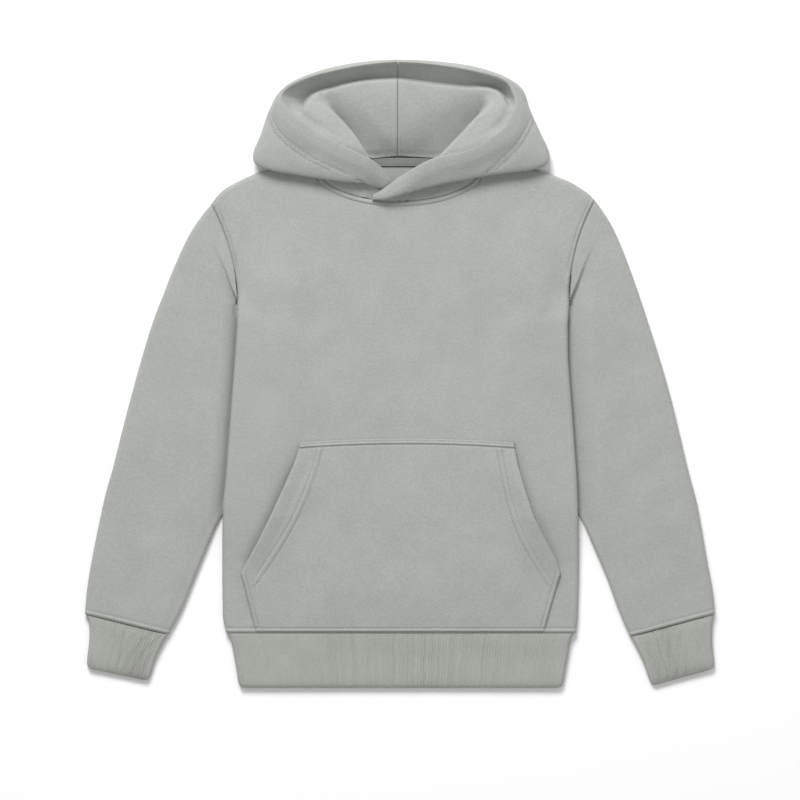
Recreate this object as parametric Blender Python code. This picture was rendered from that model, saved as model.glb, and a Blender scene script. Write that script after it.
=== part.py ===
"""Toddler hoodie laid flat, front up, hood folded down behind the neck.

Work is done in millimetres and written to the meshes in metres.
X runs across the garment, Y from the hem to the hood, Z up from the table.
"""
import math

import bpy
import numpy as np
from mathutils import Vector
from mathutils.bvhtree import BVHTree

# ---- cloth, millimetres ----
MM = 0.001
FLEECE = 2.2            # brushed-back fleece, one layer
HOOD_CLOTH = 2.0        # outer layer of the hood
RIB_CLOTH = 2.4         # rib, folded double
RIB_DEPTH = 0.55        # how far a rib stands over its groove
SEAM_GAP = 0.35         # joint between two pieces
LAID = 8.2              # front and back lying on each other
TUCKED = 4.8            # sleeve where the body lies on it
LAYER_GAP = 0.35        # air between pieces that lie on each other

# ---- body, millimetres ----
HEM_Y = 49.3            # lower edge of the panels
FRONT_NECK_Y = 438.0
BACK_NECK_Y = 478.0
NECK_SIDE_Y = 480.0     # where front and back necks meet the shoulder
NECK_CENTRE_X = -1.0
NECK_HALF_WIDTH = 77.0
FRONT_NECK_FULLNESS = 1.9
BACK_NECK_FULLNESS = 3.0
ARMHOLE_BOW_LEFT = 5.6
ARMHOLE_BOW_RIGHT = 6.1
LIFT_FULL = 34.0        # the body lies on the sleeve this far in from its side
LIFT_FADE = 72.0
LIFT_TOP = (345.0, 331.0)
LIFT_LOW = (165.0, 124.0)
HALF_BODY = 172.0       # half width at the shoulder tips
NECK_COLUMNS = (0.0, 0.012, 0.05, 0.13, 0.25, 0.38)

# heights of a panel's rows up to the underarm
PANEL_ROWS = (49.3, 66.0, 95.5, 124.0, 134.0, 144.5, 155.0, 165.0,
              200.0, 241.0, 280.0, 318.0, 331.0, 338.0, 345.0)

# side edges of the body from the hem to the underarm: x left, x right, y
BODY_SIDES = (
    (-156.5, 158.4, 49.3),
    (-159.5, 160.0, 63.0),
    (-160.0, 161.0, 95.5),
    (-160.0, 161.0, 128.0),
    (-159.5, 160.2, 164.5),
    (-156.8, 159.2, 190.0),
    (-153.0, 155.5, 241.0),
    (-148.7, 151.4, 296.0),
    (-146.7, 151.0, 326.0),
    (-146.5, 152.5, 347.0),
)
UNDERARM = {"left": (-146.5, 347.0), "right": (152.5, 347.0)}
SHOULDER_TIP = {"left": (-170.0, 435.5), "right": (175.5, 439.0)}

# shoulder line from the armhole to the neck: x left, y left, x right, y right
SHOULDERS = (
    (-170.0, 435.5, 175.5, 439.0),
    (-165.5, 443.5, 171.0, 445.0),
    (-157.5, 449.5, 162.0, 450.5),
    (-147.5, 455.0, 153.0, 455.5),
    (-136.0, 460.5, 140.5, 460.5),
    (-126.0, 464.5, 128.5, 465.0),
    (-78.0, 480.0, 76.0, 480.0),
)

# sleeves from the armhole to the cuff seam:
# outer x, outer y, inner x, inner y, share of the armhole's bow
SLEEVE_LEFT = (
    (-170.0, 435.5, -146.5, 347.0, 1.0),
    (-177.0, 427.0, -147.9, 345.0, 0.8),
    (-186.5, 413.5, -148.3, 342.0, 0.5),
    (-195.5, 396.5, -148.4, 337.5, 0.25),
    (-204.5, 376.0, -147.0, 330.0, 0.1),
    (-213.0, 354.5, -139.0, 319.0, 0.0),
    (-222.0, 331.0, -130.5, 304.0, 0.0),
    (-231.5, 300.5, -126.5, 276.0, 0.0),
    (-241.0, 266.5, -128.5, 241.0, 0.0),
    (-250.0, 232.0, -137.5, 205.5, 0.0),
    (-258.5, 198.0, -150.5, 172.0, 0.0),
    (-265.0, 175.0, -162.5, 152.5, 0.0),
    (-271.0, 148.0, -173.0, 128.5, 0.0),
    (-277.0, 118.0, -184.5, 100.0, 0.0),
    (-281.5, 91.0, -195.5, 73.0, 0.0),
    (-284.0, 69.5, -205.5, 51.0, 0.0),
)
SLEEVE_RIGHT = (
    (175.5, 439.0, 152.5, 347.0, 1.0),
    (182.0, 430.0, 153.6, 345.0, 0.8),
    (190.5, 416.5, 153.8, 342.0, 0.5),
    (199.0, 398.0, 153.6, 337.5, 0.25),
    (207.5, 376.0, 151.8, 330.0, 0.1),
    (215.0, 354.5, 143.5, 319.0, 0.0),
    (222.8, 331.0, 134.5, 304.0, 0.0),
    (232.5, 300.5, 130.5, 276.0, 0.0),
    (242.0, 268.0, 132.5, 241.0, 0.0),
    (251.0, 232.0, 141.5, 205.5, 0.0),
    (259.5, 196.0, 152.5, 172.0, 0.0),
    (266.5, 170.0, 163.5, 152.5, 0.0),
    (271.5, 144.0, 174.5, 127.0, 0.0),
    (276.5, 115.0, 186.0, 100.0, 0.0),
    (281.0, 90.0, 196.0, 73.0, 0.0),
    (283.0, 69.5, 205.0, 50.0, 0.0),
)

# rib pieces from the seam to the free edge: left x, y, right x, y, thickness
WAISTBAND = (
    (-154.6, 48.6, 156.3, 48.6, 8.2),
    (-149.3, 28.0, 151.2, 28.0, 7.9),
    (-145.4, 5.5, 147.1, 5.5, 7.4),
    (-142.5, 0.0, 144.3, 0.0, 5.2),
)
WAISTBAND_RIBS = 118
CUFF_LEFT = (
    (-282.6, 68.8, -206.5, 50.8, 8.0),
    (-281.8, 45.0, -216.5, 29.8, 7.8),
    (-282.0, 23.0, -225.5, 10.5, 7.2),
    (-280.8, 19.3, -227.5, 7.6, 6.2),
    (-277.5, 17.2, -230.3, 6.8, 5.0),
)
CUFF_RIGHT = (
    (206.0, 49.9, 281.6, 68.7, 8.0),
    (215.5, 28.5, 280.9, 44.5, 7.8),
    (224.4, 8.0, 282.0, 23.5, 7.2),
    (226.0, 4.6, 280.8, 19.5, 6.2),
    (229.5, 3.4, 277.3, 17.2, 5.0),
)
CUFF_RIBS = 30

# pocket from the hem to its top edge: left x, right x, y, lift of the edges
POCKET = (
    (-129.0, 127.6, 50.4, 0.0),
    (-132.5, 132.5, 69.0, 0.0),
    (-136.0, 137.3, 87.5, 0.0),
    (-142.8, 144.6, 105.5, 0.2),
    (-129.0, 132.5, 130.0, 1.6),
    (-117.0, 121.0, 154.0, 2.2),
    (-105.0, 111.0, 180.0, 2.0),
    (-95.5, 104.5, 206.0, 0.8),
    (-90.0, 102.5, 221.0, 0.0),
)
POCKET_TOP_BOW = 3.6
POCKET_CLOTH = 1.9

# hood, outer layer, from the centre front to the centre back:
# neck x, y, z | rise z | underside x, y, z | fold x, y, low z, high z | brim x, y, z
HOOD_LEFT = (
    (21.5, 440.0, 4.0, 4.2, 21.0, 441.0, 4.5, 20.0, 442.0, 4.9, 5.1, 18.0, 444.5, 5.6),
    (4.5, 438.8, 4.0, 4.6, 5.5, 441.0, 5.4, 6.5, 444.0, 6.3, 7.0, 8.5, 450.0, 8.0),
    (-11.0, 439.5, 4.3, 5.2, -9.5, 443.5, 7.0, -7.5, 448.5, 9.4, 10.6, -4.0, 457.0, 12.2),
    (-24.5, 441.7, 5.0, 6.2, -22.5, 449.0, 9.4, -20.0, 456.5, 13.4, 16.0, -15.5, 467.5, 20.5),
    (-38.0, 445.7, 6.8, 9.2, -34.5, 460.0, 12.0, -36.5, 456.5, 15.0, 19.5, -29.5, 477.5, 28.0),
    (-51.5, 451.5, 7.0, 9.8, -50.0, 463.5, 12.5, -53.0, 458.0, 15.5, 20.5, -45.0, 484.5, 31.0),
    (-63.0, 458.5, 7.0, 9.8, -66.5, 465.0, 11.5, -71.0, 460.5, 14.5, 20.0, -61.0, 492.5, 32.0),
    (-71.5, 465.8, 6.9, 9.8, -79.0, 466.0, 10.4, -90.0, 463.5, 12.8, 19.0, -79.0, 503.5, 32.0),
    (-76.3, 473.5, 5.4, 9.8, -92.0, 470.5, 10.2, -117.0, 468.5, 11.0, 18.0, -92.5, 514.0, 31.5),
    (-75.5, 479.6, 4.0, 9.8, -87.5, 481.5, 9.8, -128.0, 473.5, 8.5, 16.0, -99.5, 520.0, 31.0),
    (-69.0, 482.2, 1.5, 1.6, -92.0, 489.5, 1.8, -129.8, 481.5, 3.0, 13.0, -103.5, 524.5, 30.5),
    (-57.5, 480.5, 1.1, 1.1, -88.0, 498.5, 1.1, -123.2, 498.5, 2.0, 12.5, -106.0, 531.5, 29.5),
    (-41.5, 479.2, 1.1, 1.1, -75.5, 509.5, 1.1, -115.6, 520.0, 1.8, 12.0, -103.0, 538.0, 28.5),
    (-25.0, 478.7, 1.1, 1.1, -54.0, 518.5, 1.1, -104.6, 538.0, 1.8, 11.5, -93.5, 543.8, 27.5),
    (-12.5, 478.6, 1.1, 1.1, -25.0, 524.0, 1.1, -67.0, 555.2, 1.8, 11.0, -62.0, 553.6, 26.5),
    (-2.0, 478.6, 1.1, 1.1, -2.0, 525.5, 1.1, -2.0, 563.2, 1.8, 11.0, -2.0, 562.0, 26.0),
)
HOOD_RIGHT = (
    (-24.0, 442.2, 9.4, 9.9, -23.5, 442.7, 10.6, -23.0, 443.0, 11.3, 12.0, -21.0, 445.0, 12.8),
    (-12.5, 439.8, 9.0, 9.8, -12.5, 444.0, 11.8, -13.5, 442.5, 13.6, 16.2, -12.0, 450.5, 17.5),
    (0.0, 438.7, 9.0, 9.6, 0.0, 448.0, 13.2, -1.5, 445.5, 15.4, 19.2, -1.5, 459.0, 22.5),
    (13.5, 439.5, 8.8, 9.6, 14.0, 453.0, 13.3, 13.0, 449.5, 16.0, 20.3, 11.0, 465.5, 27.0),
    (27.0, 442.2, 7.8, 9.2, 27.5, 457.0, 12.8, 27.0, 453.0, 15.8, 20.8, 26.0, 470.0, 30.0),
    (40.5, 446.7, 7.1, 9.8, 42.5, 460.5, 12.5, 41.5, 456.5, 15.5, 20.8, 41.5, 474.5, 31.5),
    (52.0, 452.5, 7.0, 9.8, 56.5, 463.0, 12.2, 57.0, 459.0, 15.0, 20.5, 55.0, 478.0, 32.0),
    (62.0, 459.5, 7.0, 9.8, 68.5, 465.0, 11.4, 74.0, 462.5, 14.0, 20.0, 69.5, 484.5, 32.5),
    (69.5, 466.3, 6.9, 9.8, 77.5, 466.5, 10.4, 94.5, 465.5, 12.6, 19.0, 83.5, 494.5, 32.5),
    (74.0, 473.5, 5.4, 9.8, 89.0, 470.5, 10.2, 118.0, 468.5, 11.0, 18.0, 94.0, 505.0, 32.0),
    (73.5, 479.6, 4.0, 9.8, 84.5, 481.8, 9.8, 130.0, 473.5, 8.5, 16.0, 99.5, 514.0, 31.5),
    (67.0, 482.2, 1.5, 1.6, 90.0, 490.0, 1.8, 132.0, 481.5, 3.0, 13.0, 102.0, 521.0, 31.0),
    (56.0, 480.5, 1.1, 1.1, 87.5, 498.5, 1.1, 123.4, 501.5, 2.0, 12.5, 103.0, 528.5, 30.0),
    (39.5, 479.2, 1.1, 1.1, 74.0, 509.5, 1.1, 114.6, 521.0, 1.8, 12.0, 101.0, 535.5, 29.0),
    (22.5, 478.7, 1.1, 1.1, 52.0, 518.5, 1.1, 107.2, 539.6, 1.8, 11.5, 95.5, 544.5, 28.0),
    (10.0, 478.6, 1.1, 1.1, 23.5, 524.0, 1.1, 75.0, 555.4, 1.8, 11.0, 69.0, 553.4, 26.5),
    (-2.0, 478.6, 1.1, 1.1, -2.0, 525.5, 1.1, -2.0, 563.2, 1.8, 11.0, -2.0, 562.0, 26.0),
)

# hood lining, top surface, from the back neck up to the brim:
# centre y, centre z, valley z | ridge x, y, z | lip x, y, z | pocket x, y, z | end x, y, z
LINING_LEFT = (
    (478.8, 4.8, 4.8, -26.5, 478.6, 21.0, -30.5, 476.5, 22.0, -33.5, 475.0, 19.0, -36.0, 473.5, 14.0),
    (486.9, 10.5, 7.0, -34.5, 488.0, 25.0, -39.5, 483.5, 25.5, -46.0, 478.5, 22.5, -50.5, 475.5, 16.0),
    (500.4, 15.5, 9.5, -45.0, 500.5, 27.0, -53.0, 494.0, 27.0, -62.0, 487.0, 23.5, -68.5, 482.5, 17.0),
    (513.9, 19.0, 13.0, -55.5, 514.5, 27.5, -66.5, 507.5, 27.0, -79.0, 500.5, 23.5, -86.5, 496.0, 17.0),
    (526.5, 22.0, 19.5, -63.5, 526.0, 27.0, -86.5, 521.0, 26.0, -91.0, 517.5, 20.0, -96.0, 514.5, 16.0),
    (536.4, 24.2, 24.0, -70.0, 531.5, 26.5, -82.5, 529.0, 25.0, -87.5, 527.5, 11.0, -99.8, 525.5, 24.5),
    (543.6, 24.6, 24.4, -68.5, 535.0, 25.5, -77.5, 534.5, 24.0, -84.5, 534.5, 9.0, -101.6, 532.0, 27.0),
    (550.8, 5.0, 5.0, -70.0, 541.0, 5.0, -79.0, 540.0, 5.0, -87.5, 539.0, 5.5, -98.0, 538.2, 26.5),
    (559.6, 25.0, 25.0, -61.0, 551.0, 25.5, -70.0, 548.6, 25.5, -79.0, 546.0, 26.0, -89.5, 541.5, 26.0),
)
LINING_RIGHT = (
    (478.8, 4.8, 4.8, 30.5, 478.6, 21.0, 35.0, 476.5, 22.0, 38.5, 475.0, 19.0, 42.5, 473.5, 14.0),
    (486.9, 10.5, 7.0, 41.5, 487.0, 25.0, 49.5, 483.5, 25.5, 54.5, 481.5, 22.5, 57.0, 480.5, 16.0),
    (500.4, 15.5, 9.5, 55.5, 500.5, 27.0, 65.5, 495.0, 27.0, 71.0, 493.0, 23.5, 74.0, 491.5, 17.0),
    (513.9, 19.0, 13.0, 70.0, 513.5, 27.5, 81.0, 508.5, 27.0, 89.5, 504.5, 23.5, 94.0, 502.0, 17.0),
    (526.5, 22.0, 19.5, 79.0, 525.0, 27.0, 92.5, 520.5, 26.0, 95.0, 518.0, 20.0, 98.0, 515.5, 16.0),
    (536.4, 24.2, 24.0, 81.0, 531.5, 26.5, 91.0, 529.5, 25.0, 93.5, 528.5, 11.0, 99.0, 526.0, 24.5),
    (543.6, 24.6, 24.4, 75.5, 537.5, 25.5, 86.5, 535.5, 24.0, 91.0, 535.0, 9.0, 98.0, 532.8, 27.0),
    (550.8, 5.0, 5.0, 70.0, 542.0, 5.0, 80.0, 541.5, 5.0, 86.5, 540.5, 5.5, 94.5, 539.5, 26.5),
    (559.6, 25.0, 25.0, 56.0, 554.2, 25.5, 66.5, 551.8, 25.5, 76.0, 548.5, 26.0, 86.5, 544.0, 26.0),
)
LINING_FOOT_Z = 2.9     # underside of the folded lining, over the back panel
CENTRE_SEAM_X = -2.0
NECK_SEAT = 1.9         # middle of the hood's cloth inside the front neckline

TAPE = {"left": -23.5, "right": 27.0, "low": 469.5, "high": 477.4, "thickness": 1.0}

COLOURS = {
    "fleece": (0.415, 0.435, 0.405, 1.0),
    "rib": (0.375, 0.385, 0.355, 1.0),
    "lining": (0.405, 0.425, 0.39, 1.0),
}


# ---- curves ----
def smoothstep(low, high, value):
    """Ease from 0 at low to 1 at high; low may be the larger number."""
    t = np.clip((value - low) / (high - low), 0.0, 1.0)
    return t * t * (3.0 - 2.0 * t)


def spline(points, position):
    """Point on the centripetal Catmull-Rom curve through the points.

    The position counts points, so 1.5 is halfway from the second to the third.
    """
    points = np.asarray(points, dtype=float)
    last = len(points) - 1
    index = min(int(position), last - 1)
    t = position - index
    p1 = points[index]
    p2 = points[index + 1]
    p0 = points[index - 1] if index > 0 else 2.0 * p1 - p2
    p3 = points[index + 2] if index + 2 <= last else 2.0 * p2 - p1
    k1 = max(math.sqrt(np.linalg.norm(p1 - p0)), 1e-4)
    k2 = max(math.sqrt(np.linalg.norm(p2 - p1)), 1e-4)
    k3 = max(math.sqrt(np.linalg.norm(p3 - p2)), 1e-4)
    start = (p2 - p1) - k2 * ((p2 - p0) / (k1 + k2) - (p1 - p0) / k1)
    finish = (p2 - p1) + k2 * ((p3 - p2) / k3 - (p3 - p1) / (k2 + k3))
    return ((2 * t ** 3 - 3 * t ** 2 + 1) * p1 + (t ** 3 - 2 * t ** 2 + t) * start
            + (3 * t ** 2 - 2 * t ** 3) * p2 + (t ** 3 - t ** 2) * finish)


def edge_roll(distance, radius):
    """Height share of a rounded edge, 0 on the edge and 1 one radius in."""
    inside = 1.0 - np.clip(distance / radius, 0.0, 1.0)
    return np.sqrt(np.maximum(0.0, 1.0 - inside ** 2))


# ---- meshes ----
def grid_normals(grid, closed):
    """Unit normals of a grid of points, from its neighbours."""
    if closed:
        across = np.roll(grid, -1, axis=1) - np.roll(grid, 1, axis=1)
    else:
        across = np.gradient(grid, axis=1)
    normals = np.cross(np.gradient(grid, axis=0), across)
    return normals / np.linalg.norm(normals, axis=2, keepdims=True)


def make_object(name, points, faces, colour):
    """Mesh object with outward faces, its points given in millimetres."""
    points = np.asarray(points, dtype=float)
    volume = 0.0
    for face in faces:
        for k in range(1, len(face) - 1):
            volume += np.dot(points[face[0]], np.cross(points[face[k]], points[face[k + 1]]))
    if volume < 0.0:
        faces = [tuple(reversed(face)) for face in faces]
    mesh = bpy.data.meshes.new(name)
    mesh.from_pydata([tuple(p) for p in points * MM], [], [tuple(f) for f in faces])
    mesh.validate()
    mesh.shade_smooth()
    mesh.set_sharp_from_angle(angle=math.radians(50.0))
    material = bpy.data.materials.new(name)
    material.use_nodes = True
    shader = material.node_tree.nodes["Principled BSDF"]
    shader.inputs["Base Color"].default_value = COLOURS[colour]
    shader.inputs["Roughness"].default_value = 0.92
    shader.inputs["Metallic"].default_value = 0.0
    mesh.materials.append(material)
    thing = bpy.data.objects.new(name, mesh)
    bpy.context.scene.collection.objects.link(thing)
    return thing


def sheet_solid(name, top, bottom, colour, closed=False):
    """Closed solid between two grids of the same shape; closed joins its columns."""
    rows, columns = top.shape[:2]
    points = np.concatenate((top.reshape(-1, 3), bottom.reshape(-1, 3)))
    below = rows * columns
    faces = []
    span = columns if closed else columns - 1
    for i in range(rows - 1):
        for j in range(span):
            a = i * columns + j
            b = i * columns + (j + 1) % columns
            c, d = b + columns, a + columns
            faces.append((a, b, c, d))
            faces.append((below + d, below + c, below + b, below + a))
    for i, turn in ((0, 1), (rows - 1, -1)):
        for j in range(span):
            a = i * columns + j
            b = i * columns + (j + 1) % columns
            faces.append((a, below + a, below + b, b)[::turn])
    if not closed:
        for j, turn in ((0, -1), (columns - 1, 1)):
            for i in range(rows - 1):
                a = i * columns + j
                b = a + columns
                faces.append((a, below + a, below + b, b)[::turn])
    return make_object(name, points, faces, colour)


# ---- body ----
def side_edge(side, y):
    """X of the body's side edge at a height below the underarm."""
    column = 0 if side == "left" else 1
    heights = [row[2] for row in BODY_SIDES]
    return float(np.interp(y, heights, [row[column] for row in BODY_SIDES]))


def armhole(side, fraction):
    """Plan position on the armhole seam, 0 at the shoulder and 1 at the underarm."""
    start = np.array(SHOULDER_TIP[side])
    chord = np.array(UNDERARM[side]) - start
    inward = 1.0 if side == "left" else -1.0
    bow = ARMHOLE_BOW_LEFT if side == "left" else ARMHOLE_BOW_RIGHT
    sideways = np.array((-chord[1], chord[0])) * inward / np.linalg.norm(chord)
    return start + chord * fraction + sideways * bow * 4.0 * fraction * (1.0 - fraction)


def neckline_y(x, back):
    """Height of the front or back neckline at x, between the neck's two sides."""
    share = min(abs(x - NECK_CENTRE_X) / NECK_HALF_WIDTH, 1.0)
    low = BACK_NECK_Y if back else FRONT_NECK_Y
    fullness = BACK_NECK_FULLNESS if back else FRONT_NECK_FULLNESS
    return NECK_SIDE_Y - (NECK_SIDE_Y - low) * (1.0 - share ** fullness) ** (1.0 / fullness)


def panel_top(x, back):
    """Height of a panel's top edge at x: shoulder, neckline, shoulder."""
    if abs(x - NECK_CENTRE_X) < NECK_HALF_WIDTH:
        return neckline_y(x, back)
    if x < 0.0:
        rows = [(row[0], row[1]) for row in SHOULDERS]
    else:
        rows = [(row[2], row[3]) for row in reversed(SHOULDERS)]
    return float(np.interp(x, [row[0] for row in rows], [row[1] for row in rows]))


def side_points(side, low_rows, high_shares):
    """Panel side from the hem to the underarm, then up the armhole to the shoulder tip."""
    low = [(side_edge(side, y), y) for y in low_rows]
    high = [armhole(side, 1.0 - share) for share in high_shares]
    return np.array(low + high)


def body_lift(x, y):
    """How far the body is raised where it lies on the sleeves."""
    inset = np.minimum(x - side_edge("left", y), side_edge("right", y) - x)
    window = smoothstep(*LIFT_TOP, y) * smoothstep(LIFT_LOW[1], LIFT_LOW[0], y)
    return (TUCKED + LAYER_GAP) * smoothstep(LIFT_FADE, LIFT_FULL, inset) * window


def panel_grid(back):
    """Outer surface of a body panel and its outward directions at the rolled edges."""
    radius = LAID / 2.0
    neck_left = (NECK_CENTRE_X - NECK_HALF_WIDTH - SHOULDER_TIP["left"][0])
    width = SHOULDER_TIP["right"][0] - SHOULDER_TIP["left"][0]
    hole = neck_left / width
    neck_right = 1.0 - (SHOULDER_TIP["right"][0] - NECK_CENTRE_X - NECK_HALF_WIDTH) / width
    roll = [radius * (1.0 - math.cos(a)) / HALF_BODY for a in np.radians((0.0, 40.0, 90.0))]
    shares = list(NECK_COLUMNS) + [0.5] + [1.0 - f for f in reversed(NECK_COLUMNS)]
    neck = [hole + (neck_right - hole) * f for f in shares]
    left_shoulder = list(np.linspace(0.075, hole - 0.012, 4))
    right_shoulder = list(np.linspace(neck_right + 0.012, 0.925, 4))
    far_roll = [1.0 - f for f in reversed(roll)]
    columns = np.array(roll + left_shoulder + neck + right_shoulder + far_roll)
    armhole_length = SHOULDER_TIP["left"][1] - UNDERARM["left"][1] + 4.0
    length = UNDERARM["left"][1] - HEM_Y + armhole_length
    underarm = 1.0 - armhole_length / length
    near = [d / armhole_length for d in (0.0, 1.0, 2.6, radius + 0.4, 12.0)]
    high = list(np.linspace(near[-1], 1.0 - 8.0 / armhole_length, 5))[1:]
    crown = [1.0 - d / armhole_length for d in (radius, radius * 0.53, radius * 0.18, 0.0)]
    shares = near + high + crown
    low = [underarm * (y - HEM_Y) / (UNDERARM["left"][1] - HEM_Y) for y in PANEL_ROWS]
    rows = np.array(low + [underarm + share * (1.0 - underarm) for share in shares])
    left_points = side_points("left", PANEL_ROWS, shares)
    right_points = side_points("right", PANEL_ROWS, shares)
    tips = np.array((SHOULDER_TIP["left"], SHOULDER_TIP["right"]))
    up_armhole = np.zeros((2, 3))
    up_armhole[:, :2] = tips - np.array((armhole("left", 0.05), armhole("right", 0.05)))
    up_armhole /= np.linalg.norm(up_armhole, axis=1, keepdims=True)
    grid = np.zeros((len(rows), len(columns), 3))
    outward = np.zeros((len(rows), len(columns), 3))
    for j, u in enumerate(columns):
        top_x = tips[0][0] * (1.0 - u) + tips[1][0] * u
        top = np.array((top_x, panel_top(top_x, back)))
        bottom = left_points[0] * (1.0 - u) + right_points[0] * u
        for i, v in enumerate(rows):
            corners = (left_points[0] * (1 - u) + right_points[0] * u) * (1 - v)
            corners = corners + (tips[0] * (1 - u) + tips[1] * u) * v
            plan = bottom * (1 - v) + top * v + left_points[i] * (1 - u) + right_points[i] * u
            plan = plan - corners
            x, y = plan
            lift = body_lift(x, y)
            edge = min(u, 1.0 - u) * HALF_BODY
            above = (v - underarm) * length
            fade = 1.0 if above <= 0.0 else 1.0 - edge_roll(above, radius)
            side = 1.0 - fade * (1.0 - edge_roll(edge, radius))
            shoulder_edge = top_x < tips[0][0] + hole * width or top_x > tips[0][0] + neck_right * width
            crown_roll = edge_roll((1.0 - v) * length, radius) if shoulder_edge else 1.0
            share = side * crown_roll
            middle = lift + radius
            half_gap = SEAM_GAP / 2.0
            offset = half_gap + (radius - half_gap) * share
            grid[i, j] = (x, y, middle + (-offset if back else offset))
            lean = np.array((-1.0 if u < 0.5 else 1.0, 0.0, 0.0)) * fade * max(0.0, 1.0 - edge / radius)
            if shoulder_edge:
                lean += up_armhole[0 if u < 0.5 else 1] * max(0.0, 1.0 - (1.0 - v) * length / radius)
            lean /= max(1.0, np.linalg.norm(lean))
            lean[2] = math.sqrt(max(0.0, 1.0 - lean[0] ** 2 - lean[1] ** 2)) * (-1.0 if back else 1.0)
            outward[i, j] = lean
    return grid, outward


def panel(name, back):
    """One body panel as a wall, its edges meeting the other panel's."""
    grid, outward = panel_grid(back)
    inner = grid - outward * FLEECE
    sheet_solid(name, grid, inner, "fleece")
    return grid


# ---- sleeves ----
def sleeve_height(side, x, y):
    """Thickness of the laid sleeve: full outside the body, pressed under it."""
    outside = side_edge(side, y) - x if side == "left" else x - side_edge(side, y)
    window = smoothstep(*LIFT_TOP, y) * smoothstep(LIFT_LOW[1], LIFT_LOW[0], y)
    return LAID - (LAID - TUCKED) * window * (1.0 - smoothstep(0.0, 24.0, outside))


def sleeve_ring(side, row, first):
    """One section of the sleeve: rounded ends, laid top and flat underside."""
    outer, inner = np.array(row[0:2]), np.array(row[2:4])
    chord = inner - outer
    width = np.linalg.norm(chord)
    along = chord / width
    inward = 1.0 if side == "left" else -1.0
    sideways = np.array((-along[1], along[0])) * inward
    bow = (ARMHOLE_BOW_LEFT if side == "left" else ARMHOLE_BOW_RIGHT) * row[4]
    away = -sideways * SEAM_GAP if first else 0.0 * sideways

    def plan(distance):
        f = distance / width
        return outer + along * distance + sideways * bow * 4.0 * f * (1.0 - f) + away

    outer_radius = sleeve_height(side, *plan(2.0)) / 2.0
    inner_radius = sleeve_height(side, *plan(width - 2.0)) / 2.0
    ring = []
    for angle in np.radians((0.0, 35.0, 65.0)):
        ring.append((outer_radius * (1.0 - math.cos(angle)), outer_radius * (1.0 + math.sin(angle))))
    for f in np.linspace(0.0, 1.0, 9):
        distance = outer_radius + (width - outer_radius - inner_radius) * f
        height = sleeve_height(side, *plan(distance))
        ends = 2.0 * (outer_radius * (1.0 - f) + inner_radius * f)
        ring.append((distance, height if 0.0 < f < 1.0 else ends))
    for angle in np.radians((65.0, 35.0, 0.0, -35.0, -65.0)):
        ring.append((width - inner_radius * (1.0 - math.cos(angle)), inner_radius * (1.0 + math.sin(angle))))
    for f in np.linspace(1.0, 0.0, 5):
        ring.append((outer_radius + (width - outer_radius - inner_radius) * f, 0.0))
    for angle in np.radians((-65.0, -35.0)):
        ring.append((outer_radius * (1.0 - math.cos(angle)), outer_radius * (1.0 + math.sin(angle))))
    return [(*plan(distance), height) for distance, height in ring]


def sleeve(name, side, table):
    """Sleeve wall from the armhole to the cuff seam."""
    outer = np.array([sleeve_ring(side, row, k == 0) for k, row in enumerate(table)])
    normals = grid_normals(outer, True)
    centre = outer.mean(axis=1, keepdims=True)
    if np.sum(normals[5] * (outer[5] - centre[5])) < 0.0:
        normals = -normals
    for k in (0, -1):
        across = np.roll(outer[k], -1, axis=0) - np.roll(outer[k], 1, axis=0)
        chord = outer[k, :, :2] - outer[k, 0, :2]
        chord = chord[np.argmax(np.linalg.norm(chord, axis=1))]
        across[:, 2] = 0.0
        across[np.linalg.norm(across, axis=1) < 0.5, :2] = chord
        across /= np.linalg.norm(across, axis=1, keepdims=True)
        level = np.sum(normals[k] * across, axis=1, keepdims=True)
        upright = normals[k, :, 2:3]
        normals[k] = level * across + upright * np.array((0.0, 0.0, 1.0))
        normals[k] /= np.linalg.norm(normals[k], axis=1, keepdims=True)
    sheet_solid(name, outer, outer - normals * FLEECE, "fleece", closed=True)


# ---- rib ----
def rib_loop(row, ribs, wall):
    """Outer ribbed loop and plain inner loop of one section of a rib tube.

    Each loop is a list of (position round the loop, point).
    """
    left, right = np.array(row[0:2]), np.array(row[2:4])
    height = row[4]
    radius = height / 2.0
    along = right - left
    width = np.linalg.norm(along)
    along = along / width
    run = width - 2.0 * radius

    def at(distance, z):
        return (*(left + along * distance), z)

    outer = []
    for k in range(2 * ribs + 1):
        groove = RIB_DEPTH if k % 2 else 0.0
        outer.append((k / (2.0 * ribs), at(radius + run * k / (2.0 * ribs), height - groove)))
    for step, angle in enumerate(np.radians((45.0, 0.0, -45.0))):
        outer.append((1.0 + 0.25 * (step + 1),
                      at(width - radius * (1.0 - math.cos(angle)), radius * (1.0 + math.sin(angle)))))
    for k in range(7):
        outer.append((2.0 + k / 6.0, at(radius + run * (1.0 - k / 6.0), 0.0)))
    for step, angle in enumerate(np.radians((-45.0, 0.0, 45.0))):
        outer.append((3.0 + 0.25 * (step + 1),
                      at(radius * (1.0 - math.cos(angle)), radius * (1.0 + math.sin(angle)))))
    inset = min(wall, radius - 0.3)
    inner = []
    for k in range(9):
        inner.append((k / 8.0, at(radius + run * k / 8.0, height - inset)))
    inner.append((1.5, at(width - inset, radius)))
    for k in range(9):
        inner.append((2.0 + k / 8.0, at(radius + run * (1.0 - k / 8.0), inset)))
    inner.append((3.5, at(inset, radius)))
    return outer, inner


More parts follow.
